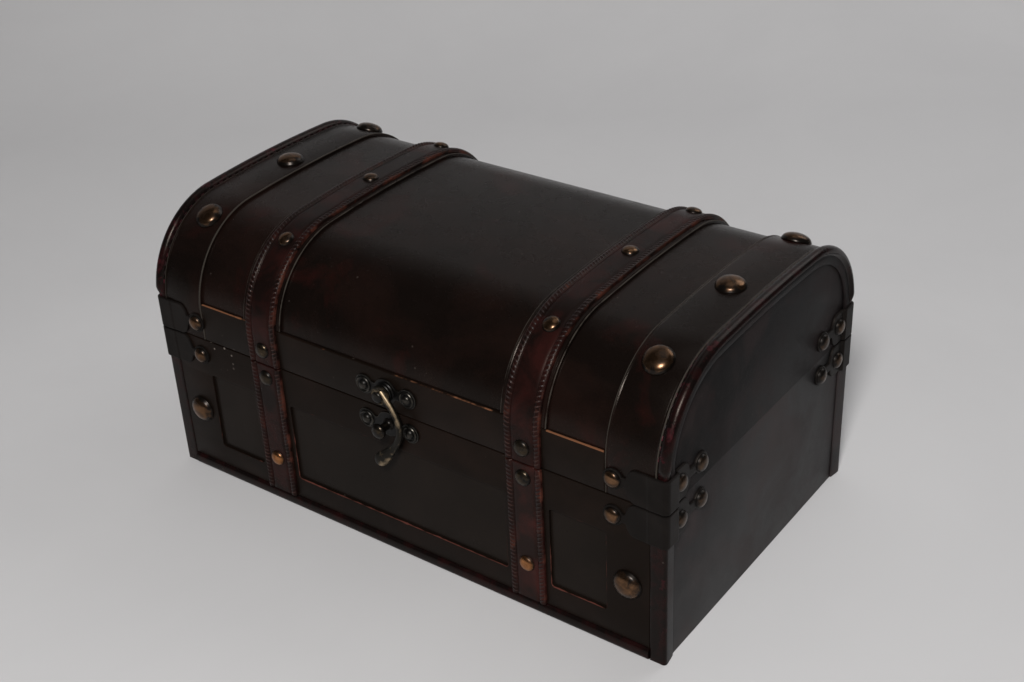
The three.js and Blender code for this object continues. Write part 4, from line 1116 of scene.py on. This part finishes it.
# %% Nails
noise.seed_set(7)
SMALL = (4.9 * MM, 2.7 * MM)
BIG = (8.5 * MM, 4.5 * MM)
BIG_NAIL_X = BAND_EDGE + 13 * MM
BIG_NAIL_Z = 44.5 * MM
BIG_NAILS = {"front": -72 * MM, "top": -2 * MM, "back": 71 * MM}
STRAP_NAILS = [-72 * MM, 1 * MM, 67 * MM]
LOW_NAIL_Z = 32 * MM
ON_SHEET = 1.7 * MM
ON_STRAP = STRAP_BED + strap_height(0) - 0.15 * MM


def nail(radius, rise):
    rim = rise * 0.14
    profile = [(0, -0.4 * MM), (radius, -0.4 * MM), (radius, rim * 0.6), (radius * 0.985, rim)]
    for turn in range(8, 81, 9):
        a = math.radians(turn)
        profile.append((radius * 0.955 * math.cos(a), rim + (rise - rim) * math.sin(a)))
    return lathe(profile + [(0, rise)], 32, lambda co: clamp((co.z - rim) / (rise - rim)) ** 0.8)


def driven(size, x, along, surface, number):
    """A nail in its place, slightly tipped."""
    shake = noise.noise_vector(Vector((number * 1.7, x * 40, along * 40)))
    tip = Matrix.Rotation(0.07 * shake.x, 4, "X") @ Matrix.Rotation(0.07 * shake.y, 4, "Y")
    return moved(nail(*size), seat(x, along, surface) @ tip)


lid_rows = [9.5 * MM] + [along_at(y) for y in STRAP_NAILS] + [WHOLE_WAY - 9.5 * MM]
# The lowest base strap nails take the lighter copy of the brass, a painted highlight, and the nails by the
# seam the darker copy, a painted shade.
base_rows = {"low": (LOW_NAIL_Z, lit_nail_brass), "seam": (BASE_TOP - 8.5 * MM, shaded_nail_brass)}
for word, side in SIDES.items():
    heads = [driven(SMALL, side * STRAP_X, along, ON_STRAP, i) for i, along in enumerate(lid_rows)]
    # The nails by the seam take the darker copy of the brass: painted shade.
    ends = gathered([heads[0], heads[-1]])
    make(f"lid_{word}_strap_seam_nails", ends, shaded_nail_brass, "lid", "brass")
    make(f"lid_{word}_strap_nails", gathered(heads[1:-1]), nail_brass, "lid", "brass")
    for i, (row, y) in enumerate(BIG_NAILS.items()):
        head = driven(BIG, side * BIG_NAIL_X, along_at(y), ON_SHEET, i + 7)
        old = f"lid_big_nail_{row}_{word}"
        make(f"lid_{word}_large_nail_{row}", head, nail_brass, "lid", "brass", old)
for names, corner in CORNERS.items():
    for word, (z, finish) in base_rows.items():
        head = mirrored(driven(SMALL, STRAP_X, z - SEAM_TOP, ON_STRAP, 3), *corner)
        make(f"base_strap_{word}_nail_{names}", head, finish, "base", "brass")
    head = mirrored(driven(BIG, BIG_NAIL_X, BIG_NAIL_Z - SEAM_TOP, ON_SHEET, 5), *corner)
    make(f"base_large_nail_{names}", head, nail_brass, "base", "brass", f"base_big_nail_{names}")
print("nails driven")

# %% [markdown]
# ## Corner patches
#
# The patches are cut from black leather: a wide lobe that folds round the corner, a neck and a round
# tip on each side under a nail. The outline is drawn flat, thickened and rounded, then sliced where
# it has to fold, and `fold` carries it along the front, up over the binding, round the corner and
# down onto the end board. `hung` stands it on the lid's edge, or turns it over under the base's.

# %% Corner patches
PLATE_BACK = WALL_FACE + SHEET[1] + GLUE
PATCH_HEIGHT = 19.8 * MM
PATCH_THICK = 1.2 * MM
LOBE_FLAT = 17.5 * MM
LOBE_ROUND = 6 * MM
NECK = 2.6 * MM
NAIL_LIFT = 10.8 * MM
FRONT_NAIL = 30.6 * MM
END_NAIL = 34.5 * MM
TIP = 5.9 * MM
FOLD = 1.9 * MM
RAMP = 1.6 * MM
corner_x = OUT_X + GLUE
corner_y = WALL_FACE + 2.0 * MM
half_fold = FOLD * math.pi / 4
saved = FOLD - half_fold
flat_front = half_fold + corner_x - FOLD - (BINDING_EDGE - GLUE)
flat_end = half_fold + BINDING_REACH + GLUE - FOLD


def patch_span(distance, nail_at):
    """The lowest and highest reach of the patch at a distance from the corner."""
    into = max(0.0, distance - LOBE_FLAT) / LOBE_ROUND
    lobe = PATCH_HEIGHT / 2 * math.sqrt(max(0.0, 1 - into * into))
    ball = math.sqrt(TIP**2 - min(abs(distance - nail_at), TIP) ** 2)
    tip = max(ball, NECK if distance < nail_at else 0.0)
    middle = GAP + PATCH_HEIGHT / 2
    return min(NAIL_LIFT - tip, middle - lobe), max(NAIL_LIFT + tip, middle + lobe)


def patch_outline():
    """The flat outline: distance along the leather from the fold, and height."""
    places = []
    for sign, nail_at in ((1, FRONT_NAIL), (-1, END_NAIL)):
        far = nail_at + TIP - saved
        steps = [0.35 * MM + 0.7 * MM * i for i in range(int((far - 0.6 * MM) / (0.7 * MM)))]
        steps += [far - 0.25 * MM, far - 0.06 * MM]
        places += [(sign * step, *patch_span(step + saved, nail_at)) for step in steps]
    places.sort()
    return [(at, low) for at, low, _ in places] + [(at, high) for at, _, high in reversed(places)]


def fold(along, rise):
    """Carries a flat point round the front right corner, seen from above."""
    if abs(along) <= half_fold:
        turn = math.pi / 4 + along / FOLD
        bent = FOLD + rise
        return corner_x - FOLD + bent * math.cos(turn), FOLD - corner_y - bent * math.sin(turn)
    run = abs(along) - half_fold
    if along > 0:
        down = (corner_y - PLATE_BACK) * eased((along - flat_front) / RAMP)
        return corner_x - FOLD - run, down - corner_y - rise
    down = (corner_x - HALF_BOX - GLUE) * eased((-along - flat_end) / RAMP)
    return corner_x + rise - down, FOLD + run - corner_y


def patch():
    """A patch for the front right corner of the lid, folded but still level with z = 0."""
    bm = calm(plate(patch_outline(), PATCH_THICK, 0.4 * MM), PATCH_THICK, 0.45 * MM)
    turns = [half_fold * i / 4 for i in range(-4, 5)]
    down = [flat_front + RAMP * i / 4 for i in range(5)] + [-flat_end - RAMP * i / 4 for i in range(5)]
    plain = [i * MM for i in (-36, -31, -26, -21, -16, -4.5, 4.5, 14, 18, 22, 26, 31)]
    slice_at(bm, 0, turns + down + plain)
    for vert in bm.verts:
        x, y = fold(vert.co.x, vert.co.z)
        vert.co = (x, y, vert.co.y)
    bmesh.ops.recalc_face_normals(bm, faces=bm.faces)
    return bm


def front_patch_nail():
    """The nail of that patch on the front."""
    return moved(nail(*SMALL), facing_front(corner_x - FRONT_NAIL, PLATE_BACK + PATCH_THICK, NAIL_LIFT))


def end_patch_nails():
    """The two nails of that patch on the end."""
    parts = []
    for distance in (BINDING_REACH + GAP + SMALL[0], END_NAIL):
        place = Matrix.Translation((HALF_BOX + GLUE + PATCH_THICK, distance - corner_y, NAIL_LIFT))
        parts.append(moved(nail(*SMALL), place @ Matrix.Rotation(math.pi / 2, 4, "Y")))
    return gathered(parts)


def hung(bm, way, level, corner):
    """Stands a patch's piece on the lid's edge, or hangs it under the base's, at its corner."""
    return mirrored(moved(flipped(bm, 1, 1, way), Matrix.Translation((0, 0, level))), *corner)


for names, corner in CORNERS.items():
    for body, *edge in (("lid", 1, SEAM_TOP), ("base", -1, BASE_TOP)):
        leather_piece = hung(patch(), *edge, corner)
        old = f"{body}_patch_{names}"
        make(f"{body}_corner_patch_{names}", leather_piece, patch_leather, body, "patch", old)
        head = hung(front_patch_nail(), *edge, corner)
        make(f"{body}_patch_face_nail_{names}", head, nail_brass, body, "brass")
        # The nails on the end take a darker copy of the brass: painted shade.
        heads = hung(end_patch_nails(), *edge, corner)
        make(f"{body}_patch_end_nails_{names}", heads, shaded_end_nail_brass, body, "brass")
print("eight patches nailed on")

# %% [markdown]
# ## Latch plates and stud
#
# Two small stamped plates hold the latch. Each has a round middle and a lobe at either side, and
# each lobe has a raised ring round its nail. The plate's outline is the outer edge of three circles
# and a bar, taken at close steps from left to right. The rings, nails, boss and stud are lathed.

# %% Latch plates and stud
PLATE_THICK = 1 * MM
PLATE_FACE = PLATE_BACK + PLATE_THICK
HOOK_BACK = PLATE_FACE + 2.6 * MM
HOOK_FRONT = HOOK_BACK + 3.6 * MM
PIVOT_Z = SEAM_TOP + 12 * MM
STUD_Z = BASE_TOP - 8.5 * MM
LOBE = 5.9 * MM
LOBE_X = 15 * MM
PLATE_MIDDLE = 7.6 * MM
PLATE_ARM = 3.2 * MM
RING = 4.3 * MM
STAMPED_RISE = 2.3 * MM
STAMPED = [(0, -0.3), (5.1, -0.3), (5.05, 0.15), (4.75, 0.75), (4.3, 1.0), (3.85, 0.85), (3.5, 0.45)]
STAMPED += [(2.95, 0.4), (2.75, 0.95), (2.3, 1.55), (1.5, 2.05), (0.7, 2.25), (0, 2.3)]
BOSS = [(0, -0.2), (6.1, -0.2), (5.9, 0.15), (5.6, 0.5), (5.6, 1.9), (5.3, 2.25), (0, 2.25)]
RIVET = [(0, -6.9), (1.94, -6.9), (1.94, 0.02), (3.25, 0.02), (3.4, 0.2), (3.3, 0.6), (2.9, 1.0)]
RIVET += [(2.2, 1.3), (1.2, 1.47), (0, 1.5)]
STUD = [(0, -0.2), (3.8, -0.2), (3.75, 0.25), (3.1, 0.6), (2.55, 1.1), (2.3, 1.7), (2.3, 6.5)]
STUD += [(3.5, 6.6), (4.25, 7.1), (4.6, 7.9), (4.45, 8.8), (3.8, 9.6), (2.6, 10.25)]
STUD += [(1.3, 10.48), (0, 10.5)]


def circle_reach(x, centre, radius):
    return math.sqrt(max(0.0, radius**2 - (x - centre) ** 2))


def latch_plate(nail_z, middle_z):
    """A plate lying flat, its X along the chest and its Y upwards."""
    ends = LOBE_X + LOBE
    upper_edge, lower_edge = [], []
    for i in range(1, 72):
        x = -ends * math.cos(math.pi * i / 72)
        arm = PLATE_ARM if abs(x) < LOBE_X else 0.0
        reach = max(circle_reach(x, LOBE_X, LOBE), circle_reach(x, -LOBE_X, LOBE), arm)
        middle = circle_reach(x, 0, PLATE_MIDDLE)
        upper_edge.append((x, max(nail_z + reach, middle_z + middle if middle else -1)))
        lower_edge.append((x, min(nail_z - reach, middle_z - middle if middle else 1)))
    outline = [(-ends, nail_z)] + lower_edge + [(ends, nail_z)] + upper_edge[::-1]
    return calm(plate(outline, PLATE_THICK, 0.3 * MM), PLATE_THICK, 0.2 * MM)


def stamped_wear(co):
    """The ring stamped in the plate is rubbed, and so is the crown of the nail inside it."""
    on_ring = abs(math.hypot(co.x, co.y) - RING) < 0.6 * MM
    return 1.0 if on_ring else max(0.0, co.z / STAMPED_RISE) ** 0.8


def plate_set(nail_z, middle_z):
    """A plate and its two ringed nails."""
    parts = [moved(latch_plate(nail_z, middle_z), facing_front(0, PLATE_BACK, 0))]
    for x in (-LOBE_X, LOBE_X):
        ringed = lathe(in_mm(STAMPED), 32, stamped_wear)
        parts.append(moved(ringed, facing_front(x, PLATE_FACE, nail_z)))
    return parts


boss = moved(lathe(in_mm(BOSS)), facing_front(0, PLATE_FACE, PIVOT_Z))
top_plate = gathered(plate_set(PIVOT_Z, PIVOT_Z) + [boss])
make("latch_upper_plate", top_plate, plate_brass, "lid", "brass", "latch_top_plate")
low_plate = gathered(plate_set(BASE_TOP - 9.5 * MM, STUD_Z))
make("latch_lower_plate", low_plate, plate_brass, "base", "brass", "latch_keeper_plate")
rivet = lathe(in_mm(RIVET), 32, lambda co: clamp(co.z / (2.4 * MM)))
rivet = moved(rivet, facing_front(0, HOOK_FRONT + 0.3 * MM, PIVOT_Z))
make("latch_rivet", rivet, plate_brass, "lid", "brass", "latch_pivot_rivet")
# The stud takes the darker copy of the nail brass: painted shade.
stud = lathe(in_mm(STUD), 32, lambda co: 0.35 if co.z > 6.5 * MM else 0.1)
stud = moved(stud, facing_front(0, PLATE_FACE, STUD_Z))
make("latch_stud", stud, shaded_nail_brass, "base", "brass", "latch_keeper_stud")
print("latch plates, rivet and stud made")

# %% [markdown]
# ## The horn hook
#
# The hook is a cast horn with a flat back. Its middle line is one Bezier curve: it leaves the top of
# the eye, bows round the stud and ends in a round bulb. Rings of the horn's section are placed along
# that line, closer together near the tip, and bridged. The outer side is rubbed bright, and near the
# eye its crest is brighter still, partly wear and partly a painted highlight. The lower half of the
# bulb is painted brighter, a painted reflection of the floor. The eye is a lathed washer with a raised
# rim, thinner than the horn, so the horn stands up from it.

# %% The horn hook
HORN_LINE = [(0, 3.6), (13.5, -11.8), (20, -21.9), (-5.5, -44.5)]
HORN_STEPS = [0.02 * i for i in range(1, 46)] + [0.92, 0.94, 0.955, 0.97, 0.98, 0.988, 0.994, 0.998]
EYE = [(2.06, 0.3), (2.3, 0), (5.0, 0), (5.45, 0.35), (5.6, 0.8), (5.6, 1.9), (5.45, 2.35), (5.05, 2.6)]
EYE += [(4.6, 2.45), (4.3, 2.1), (4.0, 1.9), (2.3, 1.9), (2.06, 1.7), (2.06, 0.3)]
knots = [Vector((x * MM, 0, PIVOT_Z + z * MM)) for x, z in HORN_LINE]
line = geometry.interpolate_bezier(*knots, 241)
runs = [0.0]
for one, two in zip(line, line[1:]):
    runs.append(runs[-1] + (two - one).length)
print("horn is", round(runs[-1] / MM, 1), "mm long")


def horn_at(share):
    """Centre, outward normal, half width and half depth of the horn at a share of its length."""
    target = share * runs[-1]
    i = next(i for i, run in enumerate(runs) if run >= target and i)
    centre = line[i - 1].lerp(line[i], (target - runs[i - 1]) / (runs[i] - runs[i - 1]))
    way = (line[i] - line[i - 1]).normalized()
    grow = eased((share - 0.62) / 0.31)
    close = math.sqrt(1 - max(0.0, (share - 0.92) / 0.08) ** 2)
    deep = (1.8 + 1.3 * grow) * MM
    centre.y = -(HOOK_BACK + deep)
    return centre, Vector((-way.z, 0, way.x)), (2 + 2.2 * grow) * MM * close, deep * close


def horn():
    bm, wear = blank()
    loops = []
    for share in HORN_STEPS:
        centre, normal, half, deep = horn_at(share)
        ring = bmesh.ops.create_circle(bm, segments=24, radius=1)["verts"]
        axes = Matrix((normal * half, Vector((0, -deep, 0)), normal.cross(Vector((0, -1, 0)))))
        place = Matrix.Translation(centre) @ axes.transposed().to_4x4()
        bmesh.ops.transform(bm, matrix=place, verts=ring)
        bulb = max(0.0, share - 0.7) / 0.3
        # Near the eye the crest is brightened beyond its rubbing: a painted highlight.
        rubbed = 0.26 + 0.74 * (1 - eased((share - 0.16) / 0.26))
        for vert in ring:
            outer = (vert.co - centre).dot(normal) / half
            front = (centre.y - vert.co.y) / deep
            crest = math.exp(-(((math.atan2(front, outer) - 0.8) / 0.5) ** 2))
            down = max(0.0, (centre.z - vert.co.z) / half)
            # Painted reflection: the lower half of the bulb is brightened as if it reflected the floor.
            vert[wear] = min(1.0, crest * rubbed + 0.1 * bulb + 0.5 * bulb * down)
        loops.append(list({e for v in ring for e in v.link_edges}))
    for one, two in zip(loops, loops[1:]):
        bmesh.ops.bridge_loops(bm, edges=one + two)
    bmesh.ops.holes_fill(bm, edges=[e for e in bm.edges if e.is_boundary], sides=0)
    bmesh.ops.recalc_face_normals(bm, faces=bm.faces)
    return bm


eye = moved(lathe(in_mm(EYE), wear=lambda co: 0.05), facing_front(0, HOOK_BACK, PIVOT_Z))
make("latch_horn", gathered([eye, horn()]), horn_brass, "latch_hook", "brass", "latch_hook")
print("horn cast")

# %% [markdown]
# ## Hinges
#
# Two butt hinges hold the lid at the back. A leaf is a thin plate with three screws and its share of
# the five knuckles, and a pin with two small heads runs through them. The hinges are hidden in the
# photograph, so they are plain.

# %% Hinges
HINGE_X = 50 * MM
HINGE_Y = WALL_FACE + SHEET[1] + 3 * MM
HINGE_Z = (BASE_TOP + SEAM_TOP) / 2
LEAF = [(-15, 0), (15, 0), (15, 13), (-15, 13)]
LEAF_BACK = 2.9 * MM
SCREW_UP = 8 * MM
SCREW = [(0, 0), (1.9, 0), (1.8, 0.25), (1.2, 0.5), (0, 0.58)]
PITCH = 6 * MM
KNUCKLE = [(1.26, -2.85), (2.35, -2.85), (2.6, -2.6), (2.6, 2.6), (2.35, 2.85), (1.26, 2.85), (1.26, -2.85)]
PIN = [(0, -16.3), (1.6, -16.3), (1.9, -16), (1.9, -15.4), (1.7, -15.12), (1.2, -15.1), (1.2, 15.1)]
PIN += [(1.7, 15.12), (1.9, 15.4), (1.9, 16), (1.6, 16.3), (0, 16.3)]
along_x = Matrix.Rotation(math.pi / 2, 4, "Y")


def leaf(mine):
    """A leaf above its axis, the axis being X through the origin, and the chest towards -Y."""
    flat = plate(in_mm(LEAF), MM, 0.25 * MM)
    corners = [e for e in flat.edges if reach_of(e, 2) > 0.5 * MM and e.verts[0].co.y > 6 * MM]
    round_off(flat, corners, 1.6 * MM, 4)
    turn = Matrix(((-1, 0, 0), (0, 0, 1), (0, 1, 0))).to_4x4()
    parts = [moved(flat, Matrix.Translation((0, -LEAF_BACK, 0)) @ turn)]
    for k in mine:
        knuckle = lathe(in_mm(KNUCKLE), 24, lambda co: 0.7)
        parts.append(moved(knuckle, Matrix.Translation(((k - 2) * PITCH, 0, 0)) @ along_x))
    for x in (-10 * MM, 0, 10 * MM):
        screw = lathe(in_mm(SCREW), 20, lambda co: 0.8)
        place = Matrix.Translation((x, 0.97 * MM - LEAF_BACK, SCREW_UP))
        parts.append(moved(screw, place @ Matrix.Rotation(-math.pi / 2, 4, "X")))
    return gathered(parts)


for word, side in SIDES.items():
    place = Matrix.Translation((side * HINGE_X, HINGE_Y, HINGE_Z))
    up = moved(leaf([1, 3]), place)
    make(f"hinge_upper_leaf_{word}", up, hinge_brass, "lid", "brass", f"hinge_lid_leaf_{word}")
    down = moved(flipped(leaf([0, 2, 4]), 1, 1, -1), place)
    make(f"hinge_lower_leaf_{word}", down, hinge_brass, "base", "brass", f"hinge_base_leaf_{word}")
    pin = moved(lathe(in_mm(PIN), 20, lambda co: 0.8), place @ along_x)
    make(f"hinge_steel_pin_{word}", pin, hinge_brass, "base", "brass", f"hinge_pin_{word}")
print("hinges made")

# %% [markdown]
# ## Floor and light
#
# The chest stands on a plain pale sheet that curves up behind it, as in a product studio. The sheet's
# colour makes the background pale, not extra light. One round lamp at the front, a little to the
# right, gives the small bright spots on the nails and the shadow behind. A wide weak lamp overhead
# draws the sheen on the dome, and another one behind keeps the back and the sides from going black.

# %% Floor and light
SHEET_TURN = math.radians(37.3)
CHEST_MIDDLE = Vector((0, 0, 80 * MM))


def studio_sheet():
    """A floor that bends up into a wall, drawn from the side and pulled across."""
    left, right, front, bend_at, radius, top = -2.2, 1.15, -2.2, 0.55, 0.4, 1.6
    outline = [(front, 0), (bend_at, 0)]
    for step in range(1, 13):
        turn = math.radians(step * 7.5)
        outline.append((bend_at + radius * math.sin(turn), radius * (1 - math.cos(turn))))
    outline.append((bend_at + radius, top))
    bm = bmesh.new()
    chain = [bm.verts.new((left, y, z)) for y, z in outline]
    edges = [bm.edges.new(pair) for pair in zip(chain, chain[1:])]
    lifted = bmesh.ops.extrude_edge_only(bm, edges=edges)["geom"]
    across = [v for v in lifted if isinstance(v, bmesh.types.BMVert)]
    bmesh.ops.translate(bm, verts=across, vec=(right - left, 0, 0))
    for face in bm.faces:
        face.smooth = True
    return put("studio_sheet", mesh_of("studio_sheet", moved(bm, Matrix.Rotation(SHEET_TURN, 4, "Z"))))


def toward(azimuth, elevation):
    """The way from the chest to a point round it. Azimuth 0 is the front, and 90 the right."""
    az, el = math.radians(azimuth), math.radians(elevation)
    return Vector((math.sin(az) * math.cos(el), -math.cos(az) * math.cos(el), math.sin(el)))


def lamp(name, azimuth, elevation, distance, size, watts, colour=(1, 1, 1)):
    light = bpy.data.lights.new(name, "AREA")
    light.shape, light.size, light.energy, light.color = "DISK", size, watts, colour
    made = put(name, light)
    made.location = CHEST_MIDDLE + toward(azimuth, elevation) * distance
    made.rotation_euler = toward(azimuth, elevation).to_track_quat("Z", "Y").to_euler()


floor = studio_sheet()
pale = Finish("pale_paper")
pale.tones(pale.mottle(3.0, 0.3, 0.7), (0.6, 0.595, 0.602), (0.64, 0.635, 0.64))
pale.fill(pale.shader, {"Base Color": pale.colour, "Roughness": 0.9, "Specular IOR Level": 0.1})
floor.data.materials.append(pale.material)

lamp("front_lamp", 29, 43, 1.7, 0.34, 25, (1, 0.985, 0.97))
lamp("high_lamp", 180, 78, 2.2, 1.4, 3)
lamp("back_lamp", 160, 40, 1.6, 1.0, 5)
world = bpy.data.worlds.new("soft_room")
world.use_nodes = True
world.node_tree.nodes["Background"].inputs["Color"].default_value = (0.9, 0.92, 0.95, 1.0)
world.node_tree.nodes["Background"].inputs["Strength"].default_value = 0.05
bpy.context.scene.world = world

# %% [markdown]
# ## Camera
#
# The camera stands to the right of the front and looks down at about thirty degrees. Its lens is a
# little long, so the box narrows only slightly towards the back. It is rolled by three degrees,
# because the photograph isn't quite level.

# %% Camera
AZIMUTH, ELEVATION, ROLL = 37.32, 30.88, -2.95
DISTANCE = 0.8949
TARGET = Vector((0.0092, 0, 0.0911))

back = toward(AZIMUTH, ELEVATION)
right = (-back).cross(Vector((0, 0, 1))).normalized()
turn = Matrix((right, right.cross(-back), back)).transposed()
turn = turn @ Matrix.Rotation(math.radians(ROLL), 3, "Z")
camera_data = bpy.data.cameras.new("camera")
camera_data.lens = 53.74
camera_data.sensor_width = 36
camera = put("camera", camera_data)
camera.matrix_world = Matrix.Translation(TARGET + back * DISTANCE) @ turn.to_4x4()
bpy.context.scene.camera = camera
bpy.context.scene.view_settings.view_transform = "Standard"
print("camera at", [round(c, 3) for c in camera.matrix_world.translation])
